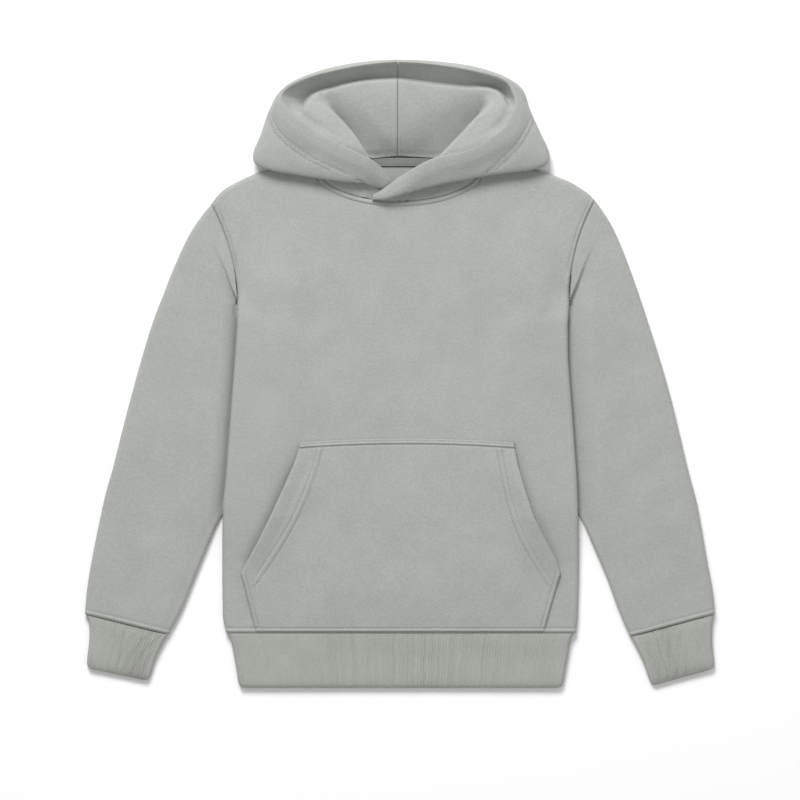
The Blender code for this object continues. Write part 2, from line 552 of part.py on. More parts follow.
def zip_loops(first, second, first_start, second_start):
    """Triangles between two closed loops of different counts, matched by position."""
    faces = []
    i = j = 0
    count_a, count_b = len(first), len(second)
    while i < count_a or j < count_b:
        next_a = first[i + 1] if i + 1 < count_a else 4.0
        next_b = second[j + 1] if j + 1 < count_b else 4.0
        a = first_start + i % count_a
        b = second_start + j % count_b
        if j >= count_b or (i < count_a and next_a <= next_b):
            faces.append((a, first_start + (i + 1) % count_a, b))
            i += 1
        else:
            faces.append((a, second_start + (j + 1) % count_b, b))
            j += 1
    return faces


def rib_tube(name, table, ribs):
    """Ribbed tube, ribs raised on its upper side over a plain inside."""
    loops = [rib_loop(row, ribs, RIB_CLOTH) for row in table]
    outer_count, inner_count = len(loops[0][0]), len(loops[0][1])
    points = []
    for outer, _ in loops:
        points.extend(point for _, point in outer)
    inner_base = len(points)
    for _, inner in loops:
        points.extend(point for _, point in inner)
    faces = []
    for i in range(len(loops) - 1):
        for count, base, turn in ((outer_count, 0, 1), (inner_count, inner_base, -1)):
            for j in range(count):
                a = base + i * count + j
                b = base + i * count + (j + 1) % count
                faces.append((a, b, b + count, a + count)[::turn])
    outer_positions = [position for position, _ in loops[0][0]]
    inner_positions = [position for position, _ in loops[0][1]]
    last = len(loops) - 1
    near = zip_loops(outer_positions, inner_positions, 0, inner_base)
    far = zip_loops(outer_positions, inner_positions, last * outer_count,
                    inner_base + last * inner_count)
    faces.extend(face[::-1] for face in near)
    faces.extend(far)
    make_object(name, points, faces, "rib")


# ---- pocket and tape ----
def surface_height(grid):
    """Function giving the top of a grid surface at x, y."""
    rows, columns = grid.shape[:2]
    faces = [(i * columns + j, i * columns + j + 1, (i + 1) * columns + j + 1, (i + 1) * columns + j)
             for i in range(rows - 1) for j in range(columns - 1)]
    tree = BVHTree.FromPolygons([Vector(p) for p in grid.reshape(-1, 3)], faces)

    def height(x, y):
        hit = tree.ray_cast(Vector((x, y, 100.0)), Vector((0.0, 0.0, -1.0)))[0]
        return hit.z
    return height


def pocket(front):
    """Hand pocket lying on the front, its two slanted openings slightly lifted."""
    height = surface_height(front)
    columns = (0.0, 0.05, 0.14, 0.27, 0.42, 0.58, 0.73, 0.86, 0.95, 1.0)
    under = []
    for k, (left, right, y, lift) in enumerate(POCKET):
        line = []
        bow = POCKET_TOP_BOW * k / (len(POCKET) - 1)
        for f in columns:
            x = left * (1.0 - f) + right * f
            raised = lift * (1.0 - smoothstep(0.0, 0.2, min(f, 1.0 - f)))
            py = y + bow * 4.0 * f * (1.0 - f)
            line.append((x, py, height(x, py) + LAYER_GAP + raised))
        under.append(line)
    under = np.array(under)
    sheet_solid("kangaroo_pocket", under + np.array((0.0, 0.0, POCKET_CLOTH)), under, "fleece")


def neck_tape():
    """Tape over the back neck seam, on the inside of the back panel."""
    low_z = FLEECE + SEAM_GAP
    under = []
    for share in (0.0, 1.0):
        line = []
        for f in np.linspace(0.0, 1.0, 9):
            x = TAPE["left"] * (1.0 - f) + TAPE["right"] * f
            drop = BACK_NECK_Y - neckline_y(x, True)
            line.append((x, TAPE["low"] + (TAPE["high"] - TAPE["low"]) * share - drop, low_z))
        under.append(line)
    under = np.array(under)
    sheet_solid("neck_tape", under + np.array((0.0, 0.0, TAPE["thickness"])), under, "lining")


# ---- hood ----
def seat_in_neck(point, seat):
    """The point moved, if need be, to lie this far inside the front neckline."""
    point = np.array(point)
    xs = NECK_CENTRE_X + NECK_HALF_WIDTH * np.sin(np.linspace(-1.5707, 1.5707, 181))
    line = np.array([(x, neckline_y(x, False)) for x in xs])
    away = line - point[:2]
    nearest = int(np.argmin(np.linalg.norm(away, axis=1)))
    tangent = line[min(nearest + 1, 180)] - line[max(nearest - 1, 0)]
    inward = np.array((-tangent[1], tangent[0])) / np.linalg.norm(tangent)
    depth = float(np.dot(point[:2] - line[nearest], inward))
    if depth < seat:
        point[:2] += inward * (seat - depth)
    return point


def hood_controls(row):
    """Control points of one hood section from the neck seam to the brim."""
    neck, rise_z, under = seat_in_neck(row[0:3], NECK_SEAT), row[3], np.array(row[4:7])
    fold, low_z, high_z = np.array(row[7:9]), row[9], row[10]
    brim = np.array(row[11:14])
    rise = np.array((*(neck[:2] * 0.94 + under[:2] * 0.06), rise_z))
    low = np.array((*fold, low_z))
    high = np.array((*fold, high_z))
    wing = high * 0.45 + brim * 0.55 + np.array((0.0, 0.0, 1.6))
    return np.array((neck, rise, under, low, high, wing, brim))


def hood_grid(table, count, columns, seam_x):
    """Middle surface of the hood's outer layer, ending at its centre seam."""
    controls = np.array([hood_controls(row) for row in table])
    controls[-1, :, 0] = seam_x
    grid = []
    for position in np.linspace(0.0, len(table) - 1.0, count):
        line = [spline(controls[:, k], position) for k in range(controls.shape[1])]
        grid.append([spline(line, c) for c in columns])
    grid = np.array(grid)
    grid[:, :, 2] = np.maximum(grid[:, :, 2], HOOD_CLOTH / 2.0 + 0.05)
    return grid


def hood_outer(name, table, seam_x):
    """Outer hood half as a wall, from the neck seam to the brim."""
    columns = (0.0, 1.0, 1.5, 2.0, 2.5, 3.0, 3.5, 4.0, 4.5, 5.0, 5.6, 6.0)
    middle = hood_grid(table, 25, columns, seam_x)
    normals = grid_normals(middle, False)
    if normals[-1, -2, 1] < 0.0:
        normals = -normals
    normals[-1, :, 0] = 0.0
    normals[-1] /= np.linalg.norm(normals[-1], axis=1, keepdims=True)
    half = HOOD_CLOTH / 2.0
    outside, inside = middle + normals * half, middle - normals * half
    outside[:, :, 2] = np.maximum(outside[:, :, 2], 0.05)
    for side in (outside, inside):
        for i in range(len(side)):
            for j in range(4):
                if side[i, j, 2] < LAID + SEAM_GAP and side[i, j, 1] < NECK_SIDE_Y:
                    side[i, j] = seat_in_neck(side[i, j], NECK_SEAT - HOOD_CLOTH / 2.0)
    sheet_solid(name, outside, inside, "fleece")
    return middle


def lining_controls(row, seam_x):
    """Top-surface points of one lining row, from the centre seam to its outer end."""
    centre = np.array((seam_x, row[0], row[1]))
    ridge, lip = np.array(row[3:6]), np.array(row[6:9])
    pocket_point, end = np.array(row[9:12]), np.array(row[12:15])
    toward = centre[:2] - ridge[:2]
    toward = toward / np.linalg.norm(toward)
    valley = np.array((*(ridge[:2] + toward * 5.5), row[2]))
    slope = valley * 0.45 + centre * 0.55
    return np.array((centre, slope, valley, ridge, lip, pocket_point, end))


def hood_lining(name, table, seam_x):
    """Lining half: its folds as one rounded solid, flat underneath."""
    controls = np.array([lining_controls(row, seam_x) for row in table])
    columns = (0.0, 0.5, 1.0, 1.6, 2.0, 2.5, 3.0, 3.5, 4.0, 4.5, 5.0, 5.5, 6.0)
    count = (len(table) - 1) * 2 + 1
    top = []
    for position in np.linspace(0.0, len(table) - 1.0, count):
        line = [spline(controls[:, k], position) for k in range(controls.shape[1])]
        top.append([spline(line, c) for c in columns])
    top = np.array(top)
    bottom = top.copy()
    bottom[:, :, 2] = LINING_FOOT_Z
    sheet_solid(name, top, bottom, "lining")
    return top


def rest_on_origin():
    """Move everything so that the bottom centre of the whole box is the origin."""
    things = [thing for thing in bpy.context.scene.objects if thing.type == "MESH"]
    points = np.array([v.co for thing in things for v in thing.data.vertices])
    low, high = points.min(axis=0), points.max(axis=0)
    shift = Vector((-(low[0] + high[0]) / 2.0, -(low[1] + high[1]) / 2.0, -low[2]))
    for thing in things:
        for vertex in thing.data.vertices:
            vertex.co += shift


def build():
    """Make every piece of the hoodie."""
    for thing in list(bpy.data.objects):
        bpy.data.objects.remove(thing, do_unlink=True)
    front = panel("front_panel", False)
    panel("back_panel", True)
    sleeve("sleeve_left", "left", SLEEVE_LEFT)
    sleeve("sleeve_right", "right", SLEEVE_RIGHT)
    rib_tube("cuff_left", CUFF_LEFT, CUFF_RIBS)
    rib_tube("cuff_right", CUFF_RIGHT, CUFF_RIBS)
    rib_tube("waistband", WAISTBAND, WAISTBAND_RIBS)
    pocket(front)
    neck_tape()
    hood_outer("hood_left", HOOD_LEFT, CENTRE_SEAM_X - SEAM_GAP / 2.0)
    hood_outer("hood_right", HOOD_RIGHT, CENTRE_SEAM_X + SEAM_GAP / 2.0)
    hood_lining("hood_lining_left", LINING_LEFT, CENTRE_SEAM_X - SEAM_GAP / 2.0)
    hood_lining("hood_lining_right", LINING_RIGHT, CENTRE_SEAM_X + SEAM_GAP / 2.0)
    rest_on_origin()


build()
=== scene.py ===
import math

import bpy
import numpy as np
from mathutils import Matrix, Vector
from mathutils.bvhtree import BVHTree


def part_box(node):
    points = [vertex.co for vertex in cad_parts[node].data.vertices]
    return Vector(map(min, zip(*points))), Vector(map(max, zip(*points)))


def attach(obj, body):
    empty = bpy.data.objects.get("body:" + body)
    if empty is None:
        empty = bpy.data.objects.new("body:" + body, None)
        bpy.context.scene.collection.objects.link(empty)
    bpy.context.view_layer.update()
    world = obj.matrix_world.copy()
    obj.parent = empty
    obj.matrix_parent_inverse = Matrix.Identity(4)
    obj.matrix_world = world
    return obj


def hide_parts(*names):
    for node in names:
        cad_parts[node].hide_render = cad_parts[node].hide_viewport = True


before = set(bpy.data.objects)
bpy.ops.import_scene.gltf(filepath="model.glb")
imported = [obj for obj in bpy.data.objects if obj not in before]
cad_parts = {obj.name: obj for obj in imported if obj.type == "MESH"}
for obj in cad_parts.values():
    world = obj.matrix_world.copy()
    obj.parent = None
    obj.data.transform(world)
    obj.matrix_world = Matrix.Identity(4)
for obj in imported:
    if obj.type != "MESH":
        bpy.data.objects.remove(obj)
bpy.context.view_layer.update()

# A toddler's pullover hoodie, laid flat with its front up and its hood folded down.
# Shapes are worked out in millimetres on the sewing pattern's own axes:
# x across, y from the hem to the hood, z up from the table.

pocketReach = 142.8  # from the pattern's middle line out to the pocket's left corner
patternShift = np.array((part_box("kangaroo_pocket")[0][0] * 1000.0 + pocketReach,
                         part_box("waistband")[0][1] * 1000.0, 0.0))
print("hoodie: frame loaded, pattern moved by", [round(float(s), 2) for s in patternShift])


def ramp(low, high, value):
    t = np.clip((value - low) / (high - low), 0.0, 1.0)  # low may be the larger number
    return t * t * (3.0 - 2.0 * t)


def bell(distance, middle, width):
    return np.exp(-((distance - middle) / width) ** 2)


def splinePoint(points, position):
    # centripetal Catmull-Rom; the position counts points
    last = len(points) - 1
    index = min(int(position), last - 1)
    t = position - index
    p1, p2 = points[index], points[index + 1]
    p0 = points[index - 1] if index > 0 else 2.0 * p1 - p2
    p3 = points[index + 2] if index + 2 <= last else 2.0 * p2 - p1
    k1 = max(math.sqrt(np.linalg.norm(p1 - p0)), 1e-4)
    k2 = max(math.sqrt(np.linalg.norm(p2 - p1)), 1e-4)
    k3 = max(math.sqrt(np.linalg.norm(p3 - p2)), 1e-4)
    start = (p2 - p1) - k2 * ((p2 - p0) / (k1 + k2) - (p1 - p0) / k1)
    finish = (p2 - p1) + k2 * ((p3 - p2) / k3 - (p3 - p1) / (k2 + k3))
    return ((2 * t ** 3 - 3 * t ** 2 + 1) * p1 + (t ** 3 - 2 * t ** 2 + t) * start
            + (3 * t ** 2 - 2 * t ** 3) * p2 + (t ** 3 - t ** 2) * finish)


def splineLine(points, positions):
    points = np.asarray(points, dtype=float)
    return np.array([splinePoint(points, p) for p in positions])


def steps(*stretches):
    # positions through stretches of (start, end, step), each end shared once
    out = []
    for start, end, step in stretches:
        count = max(1, int(round(abs(end - start) / step)))
        out.extend(np.linspace(start, end, count + 1)[(1 if out else 0):])
    return np.array(out)


def signedFrom(points, line):
    # distance in plan to a line of points, above nought on the left of its run
    plan = points[..., :2].reshape(-1, 2)
    line = np.asarray(line, dtype=float)[:, :2]
    best, sign = np.full(len(plan), 1e9), np.ones(len(plan))
    for a, b in zip(line[:-1], line[1:]):
        run, away = b - a, plan - a
        t = np.clip((away @ run) / max(float(run @ run), 1e-9), 0.0, 1.0)
        distance = np.linalg.norm(away - t[:, None] * run, axis=1)
        closer = distance < best
        best = np.where(closer, distance, best)
        sign = np.where(closer, np.where(run[0] * away[:, 1] >= run[1] * away[:, 0], 1.0, -1.0), sign)
    return (best * sign).reshape(points.shape[:-1])


def farFrom(points, line):
    return np.abs(signedFrom(points, line))


def softFolds(points, folds):
    # each fold: start x, y, end x, y, half width, height; troughs have a height below nought
    sag, fading = 0.06, 0.8  # how far a fold bows for its length, how soon it fades at its ends
    out = np.zeros(points.shape[:-1])
    for x0, y0, x1, y1, width, height in folds:
        run = np.array((x1 - x0, y1 - y0))
        length = np.linalg.norm(run)
        away = points[..., :2] - np.array((x0, y0))
        arch = np.sin(np.pi * np.clip((away @ run) / length ** 2, 0.0, 1.0))
        side = (away[..., 0] * run[1] - away[..., 1] * run[0]) / length
        out += height * bell(side, sag * length * arch, width) * arch ** fading
    return out


def lengthAlong(line):
    # how far along the line each of its points lies
    return np.concatenate(([0.0], np.cumsum(np.linalg.norm(np.diff(line, axis=0), axis=1))))


def offsetLine(line, distance):
    # the line moved sideways in plan, to its left for a positive distance
    line = np.asarray(line, dtype=float)
    run = np.gradient(line[:, :2], axis=0)
    run /= np.linalg.norm(run, axis=1, keepdims=True)
    return line[:, :2] + np.stack((-run[:, 1], run[:, 0]), axis=1) * distance


def gridNormals(grid, closed=False):
    across = np.roll(grid, -1, axis=1) - np.roll(grid, 1, axis=1) if closed else np.gradient(grid, axis=1)
    normals = np.cross(np.gradient(grid, axis=0), across)
    return normals / np.maximum(np.linalg.norm(normals, axis=2, keepdims=True), 1e-9)


def gridFaces(rows, columns, closed):
    i, j = np.meshgrid(np.arange(rows - 1), np.arange(columns if closed else columns - 1), indexing="ij")
    a = (i * columns + j).ravel()
    b = (i * columns + (j + 1) % columns).ravel()
    return np.stack((a, b, b + columns, a + columns), axis=1)


def clothPiece(name, face, reverse, material, nodes, closed=False):
    # a thin closed shell between the cloth's face and its reverse
    rows, columns = face.shape[:2]
    points = np.concatenate((face.reshape(-1, 3), reverse.reshape(-1, 3)))
    below = rows * columns
    quads = gridFaces(rows, columns, closed)
    faces = [quads, quads[:, ::-1] + below]
    span = np.arange(columns if closed else columns - 1)
    nextOne = (span + 1) % columns
    for start, turn in ((0, 1), ((rows - 1) * columns, -1)):
        a, b = span + start, nextOne + start
        faces.append(np.stack((a, a + below, b + below, b), axis=1)[:, ::turn])
    if not closed:
        for start, turn in ((0, -1), (columns - 1, 1)):
            a = np.arange(rows - 1) * columns + start
            b = a + columns
            faces.append(np.stack((a, a + below, b + below, b), axis=1)[:, ::turn])
    faces = np.concatenate(faces)
    p = points[faces]
    volume = np.sum(p[:, 0] * np.cross(p[:, 1], p[:, 2])) + np.sum(p[:, 0] * np.cross(p[:, 2], p[:, 3]))
    if volume < 0.0:
        faces = faces[:, ::-1]
    return addMesh(name, points, faces.tolist(), material, nodes)


def addMesh(name, points, faces, material, nodes):
    mesh = bpy.data.meshes.new(name)
    placed = (np.asarray(points, dtype=float) + patternShift) * 0.001
    mesh.from_pydata(placed.tolist(), [], faces)
    mesh.update()
    mesh.shade_smooth()
    mesh.materials.append(material)
    piece = bpy.data.objects.new(name, mesh)
    bpy.context.scene.collection.objects.link(piece)
    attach(piece, "root")
    if nodes:
        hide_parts(*nodes)
    return piece


def topOf(grid):
    # gives the height and direction of a surface under any plan position
    quads = gridFaces(*grid.shape[:2], False).tolist()
    tree = BVHTree.FromPolygons([Vector(p) for p in grid.reshape(-1, 3)], quads)
    above, down = 200.0, Vector((0.0, 0.0, -1.0))

    def look(x, y):
        hit, normal = tree.ray_cast(Vector((x, y, above)), down)[:2]
        if hit is None:
            return None
        return hit, normal if normal.z > 0.0 else -normal
    return look


def linearColour(hexText):
    channels = [int(hexText[i:i + 2], 16) / 255.0 for i in (1, 3, 5)]
    return [c / 12.92 if c <= 0.04045 else ((c + 0.055) / 1.055) ** 2.4 for c in channels] + [1.0]


def addNode(tree, kind, settings=None, inputs=None, links=None):
    # settings are the node's own, inputs are socket values, links are (socket, from node, its socket)
    node = tree.nodes.new(kind)
    for key, value in (settings or {}).items():
        setattr(node, key, value)
    for key, value in (inputs or {}).items():
        node.inputs[key].default_value = value
    for socket, source, output in (links or []):
        tree.links.new(source.outputs[output], node.inputs[socket])
    return node


def clothMaterial(name, look):
    # a mottled dye under fine flecks, with two sizes of bump for the nap
    material = bpy.data.materials.new(name)
    material.use_nodes = True
    tree = material.node_tree
    tree.nodes.clear()
    place = addNode(tree, "ShaderNodeTexCoord")
    perMetre = 1000.0
    noises = []
    for size, detail, rough, twist in (("cloudMm", 3.0, 0.55, 0.0), ("fleckMm", 2.0, 0.6, 0.0),
                                       ("napMm", 4.0, 0.7, 0.6)):
        noises.append(addNode(tree, "ShaderNodeTexNoise", None,
                              {"Scale": perMetre / look[size], "Detail": detail,
                               "Roughness": rough, "Distortion": twist},
                              [("Vector", place, "Object")]))
    cloud, fleck, nap = noises
    dyes = []
    for noise, ends, keys in ((cloud, (0.3, 0.7), ("shade", "light")),
                              (fleck, (0.32, 0.68), ("dark", "pale"))):
        dye = addNode(tree, "ShaderNodeValToRGB", None, None, [("Fac", noise, "Fac")])
        for element, position, key in zip(dye.color_ramp.elements, ends, keys):
            element.position = position
            element.color = linearColour(look[key])
        dyes.append(dye)
    colour = addNode(tree, "ShaderNodeMix", {"data_type": "RGBA", "blend_type": "MULTIPLY"}, {0: 1.0},
                     [(6, dyes[0], "Color"), (7, dyes[1], "Color")])
    fuzz = addNode(tree, "ShaderNodeBump", None,
                   {"Strength": look["napStrength"], "Distance": look["napMm"] / perMetre},
                   [("Height", nap, "Fac")])
    soft = addNode(tree, "ShaderNodeBump", None,
                   {"Strength": look["softStrength"], "Distance": 0.0012},
                   [("Height", fleck, "Fac"), ("Normal", fuzz, "Normal")])
    shader = addNode(tree, "ShaderNodeBsdfPrincipled", None,
                     {"Roughness": 0.94, "IOR": 1.46, "Specular IOR Level": 0.25,
                      "Sheen Weight": look["sheen"], "Sheen Roughness": 0.55},
                     [("Base Color", colour, 2), ("Normal", soft, "Normal")])
    addNode(tree, "ShaderNodeOutputMaterial", None, None, [("Surface", shader, "BSDF")])
    return material


# Brushed-back cotton fleece: a smooth knit face with a faint bloom of fibre and a barely mottled dye.
fleeceLook = {"shade": "#a7aaa5", "light": "#adb0ab", "dark": "#f1f1f1", "pale": "#ffffff",
              "cloudMm": 26.0, "fleckMm": 1.9, "napMm": 0.8,
              "napStrength": 0.3, "softStrength": 0.22, "sheen": 0.12}
# The same fleece's inner side, brushed up, paler and softer.
innerLook = dict(fleeceLook, shade="#aaada8", light="#b1b4af", fleckMm=2.4, napStrength=0.45, sheen=0.16)
# Painted shade: the sleeves get a copy of the fleece a touch darker, standing in for the way they read darker
# than the body under the light.
sleeveShadeLook = dict(fleeceLook, light="#acafaa")
# Cotton rib, 1x1, coloured a touch darker than the body: painted shade for the grooves between its ribs.
ribShadeLook = dict(fleeceLook, shade="#a7a9a3", light="#aeb0aa", fleckMm=1.4, napStrength=0.35, sheen=0.08)
# Cotton tape over the neck seam, lying flat; painted shade: its colour is much darker than the fleece's, for
# the shadow it lies in below the hood.
tapeShadeLook = dict(fleeceLook, shade="#848782", light="#8a8d88", fleckMm=1.0, sheen=0.05)
# Spun polyester thread, dyed to match; painted shade: its colour is set darker than the fleece, for the
# needle holes it sinks into.
threadShadeLook = dict(fleeceLook, shade="#969993", light="#9c9f99", fleckMm=0.8, napStrength=0.2, sheen=0.05)

fleece = clothMaterial("brushed-back cotton fleece", fleeceLook)
sleeveShadedFleece = clothMaterial("brushed-back cotton fleece, painted sleeve shade", sleeveShadeLook)
tapeShadeCloth = clothMaterial("cotton neck tape", tapeShadeLook)
innerFleece = clothMaterial("fleece inner side", innerLook)
ribKnit = clothMaterial("cotton 1x1 rib", ribShadeLook)
shadedThread = clothMaterial("polyester sewing thread", threadShadeLook)

stitching = {"pitch": 3.0, "length": 2.3, "width": 0.62, "height": 0.34, "sides": 5,
             # rings along a stitch: place, size, how deep it is drawn in
             "rings": ((0.12, 0.75, 0.132), (0.5, 1.0, 0.06), (0.88, 0.75, 0.132)), "tipDepth": 0.25,
             "jump": 1.6}  # no stitch where its two ends differ more than this in height


def stitchRows(name, look, lines):
    # one small spindle for each stitch, laid on the cloth under the line
    points, faces = [], []
    sides = stitching["sides"]
    for line in lines:
        line = np.asarray(line, dtype=float)[:, :2]
        run = lengthAlong(line)
        count = int(run[-1] / stitching["pitch"])
        for k in range(count):
            middle = (k + 0.5) * run[-1] / count
            ends = [np.array([np.interp(middle + s * stitching["length"] / 2.0, run, line[:, c])
                              for c in (0, 1)]) for s in (-1.0, 1.0)]
            seen = [look(*end) for end in ends]
            if None in seen:
                continue
            (a, na), (b, nb) = seen
            if abs(a.z - b.z) > stitching["jump"]:
                continue
            along = (b - a).normalized()
            up = ((na + nb) / 2.0).normalized()
            across = up.cross(along).normalized()
            up = along.cross(across)
            first = len(points)
            for t, size, depth in stitching["rings"]:
                centre = a.lerp(b, t) - up * depth
                for n in range(sides):
                    angle = 2.0 * math.pi * n / sides
                    points.append(centre + across * (math.cos(angle) * stitching["width"] / 2.0 * size)
                                  + up * (math.sin(angle) * stitching["height"] * size))
            lastRing, tip = first + 2 * sides, first + 3 * sides
            points.append(a - up * stitching["tipDepth"])
            points.append(b - up * stitching["tipDepth"])
            for n in range(sides):
                m = (n + 1) % sides
                faces.append((tip, first + m, first + n))
                faces.append((tip + 1, lastRing + n, lastRing + m))
                for ring in (first, first + sides):
                    faces.append((ring + n, ring + m, ring + sides + m, ring + sides + n))
    addMesh(name, np.array([tuple(p) for p in points]), faces, shadedThread, ())


body = {
    "wall": 1.8, "laid": 8.2, "tucked": 4.8, "layerGap": 0.35,  # cloth, laid body, sleeve below it, air
    "crisp": 0.6, "crown": 1.6, "halfWidth": 172.0,
    # from each seam to its stitches, and how far the cloth between them stands up
    "armStitch": 3.7, "neckStitch": 4.6, "hemStitch": 4.5,
    "armRidge": 1.35, "neckRidge": 0.9, "hemRidge": 0.95,
    "hem": 49.3, "frontNeck": 438.0, "backNeck": 478.0, "frontFullness": 2.2, "backFullness": 3.0,
    "neckSide": 480.0, "neckMiddle": -1.0, "neckHalf": 77.0,
    # the heights over which the body rises to pass over the sleeves, and how far in it does so
    "liftTop": (345.0, 331.0), "liftLow": (124.0, 165.0), "liftFull": 34.0, "liftFade": 72.0,
    "frontTop": (362.0, 327.0), "frontEase": (440.0, 322.0), "easeIn": (2.0, 26.0), "frontLow": (92.0, 174.0),
    "armSeen": (362.0, 392.0),  # the armhole's seam flattens out below these heights
    "tip": {"left": (-170.0, 435.5), "right": (175.5, 439.0)},
    "underarm": {"left": (-146.5, 347.0), "right": (152.5, 347.0)},
    "bow": {"left": 5.6, "right": 6.1},
    # side edges, hem to underarm: left x, right x, y
    "sides": (
        (-156.5, 158.4, 49.3), (-159.5, 160, 63), (-160, 161, 95.5), (-160, 161, 128),
        (-159.5, 160.2, 164.5), (-156.8, 159.2, 190), (-153, 155.5, 241), (-148.7, 151.4, 296),
        (-146.7, 151, 326), (-146.5, 152.5, 347)),
    # shoulders, armhole to neck: left x, y, right x, y
    "shoulders": (
        (-170, 435.5, 175.5, 439), (-165, 442.4, 170.6, 444), (-157.5, 449.5, 162, 450.5),
        (-147.5, 455, 153, 455.5), (-136, 460.5, 140.5, 460.5), (-126, 464.5, 128.5, 465),
        (-78, 480, 76, 480)),
    # start x, y, end x, y, half width, height
    "frontFolds": (
        (-142, 352, -62, 330, 13, -0.9), (-140, 372, -40, 372, 16, 0.7), (146, 350, 70, 322, 13, -0.9),
        (146, 374, 44, 366, 17, 0.7), (-150, 205, -112, 300, 14, -0.7), (152, 190, 118, 290, 15, -0.7),
        (-120, 455, -92, 392, 15, -0.6), (118, 458, 96, 388, 16, -0.6), (-60, 262, 40, 246, 16, 0.5),
        (-20, 312, 80, 296, 18, -0.4), (-152, 120, -146, 70, 7, -0.6), (152, 118, 148, 66, 7, -0.6)),
    "backFolds": ((-110.0, 120.0, 70.0, 150.0, 18.0, 0.5), (-90.0, 300.0, 100.0, 280.0, 20.0, 0.5)),
    # where the front dips under the lifted edges of the pocket's openings
    "openingDips": (
        ((-86, 208), (-98.5, 183), (-110.5, 157), (-121, 137), (-133, 113)),
        ((99, 208), (106, 184), (114.5, 158), (125, 137), (136.5, 112))),
    "dip": 2.6, "dipWidth": 8.5,
}
armShares = np.linspace(0.0, 1.0, 24)


def sideEdge(side, y):
    heights = [row[2] for row in body["sides"]]
    return np.interp(y, heights, [row[0 if side == "left" else 1] for row in body["sides"]])


def sideInset(x, y):
    return np.minimum(x - sideEdge("left", y), sideEdge("right", y) - x)


def armhole(side, fraction):
    # 0 at the shoulder, 1 at the underarm
    fraction = np.asarray(fraction, dtype=float)[..., None]
    start, end = np.array(body["tip"][side]), np.array(body["underarm"][side])
    chord = end - start
    turn = 1.0 if side == "left" else -1.0
    sideways = np.array((-chord[1], chord[0])) * turn / np.linalg.norm(chord)
    return start + chord * fraction + sideways * body["bow"][side] * 4.0 * fraction * (1.0 - fraction)


def armholeX(side, y):
    line = armhole(side, armShares[::-1])
    return np.where(y < line[0, 1], sideEdge(side, y), np.interp(y, line[:, 1], line[:, 0]))


def necklineY(x, back):
    share = np.minimum(np.abs(x - body["neckMiddle"]) / body["neckHalf"], 1.0)
    low = body["backNeck"] if back else body["frontNeck"]
    power = body["backFullness"] if back else body["frontFullness"]
    return body["neckSide"] - (body["neckSide"] - low) * (1.0 - share ** power) ** (1.0 / power)


shoulderCurve = splineLine(np.array(body["shoulders"]), steps((0.0, 6.0, 0.1)))
shoulderCurve = np.concatenate((shoulderCurve[:, 0:2], shoulderCurve[::-1, 2:4]))


def panelTop(x, back):
    inNeck = np.abs(x - body["neckMiddle"]) < body["neckHalf"]
    return np.where(inNeck, necklineY(x, back), np.interp(x, shoulderCurve[:, 0], shoulderCurve[:, 1]))


def tuckWindow(y):
    # 1 down the sides, where the sleeves pass below the body
    return ramp(*body["liftTop"], y) * ramp(*body["liftLow"], y)


def bodyLift(x, y, back):
    window = tuckWindow(y)
    if not back:
        # the front eases over the sleeve, far more gently away from the armhole
        fromLeft, fromRight = x - armholeX("left", y), armholeX("right", y) - x
        inside = ramp(*body["easeIn"], fromLeft) * ramp(*body["easeIn"], fromRight)
        window = np.maximum(ramp(*body["frontTop"], y), ramp(*body["frontEase"], y) * inside)
        window = window * ramp(*body["frontLow"], y)
    near = ramp(body["liftFade"], body["liftFull"], sideInset(x, y))
    return (body["tucked"] + body["layerGap"]) * near * window


def edgeRoll(distance, radius):
    # a quarter round: 0 at the edge, 1 from the radius inwards
    return np.sqrt(np.maximum(0.0, 1.0 - (1.0 - np.clip(distance / radius, 0.0, 1.0)) ** 2))


armholeLines = {side: armhole(side, armShares) for side in ("left", "right")}
nearQuarter = 1.5707  # just short of a quarter turn
neckXs = body["neckMiddle"] + body["neckHalf"] * np.sin(np.linspace(-nearQuarter, nearQuarter, 90))
frontNeckLine = np.stack((neckXs, necklineY(neckXs, False)), axis=1)


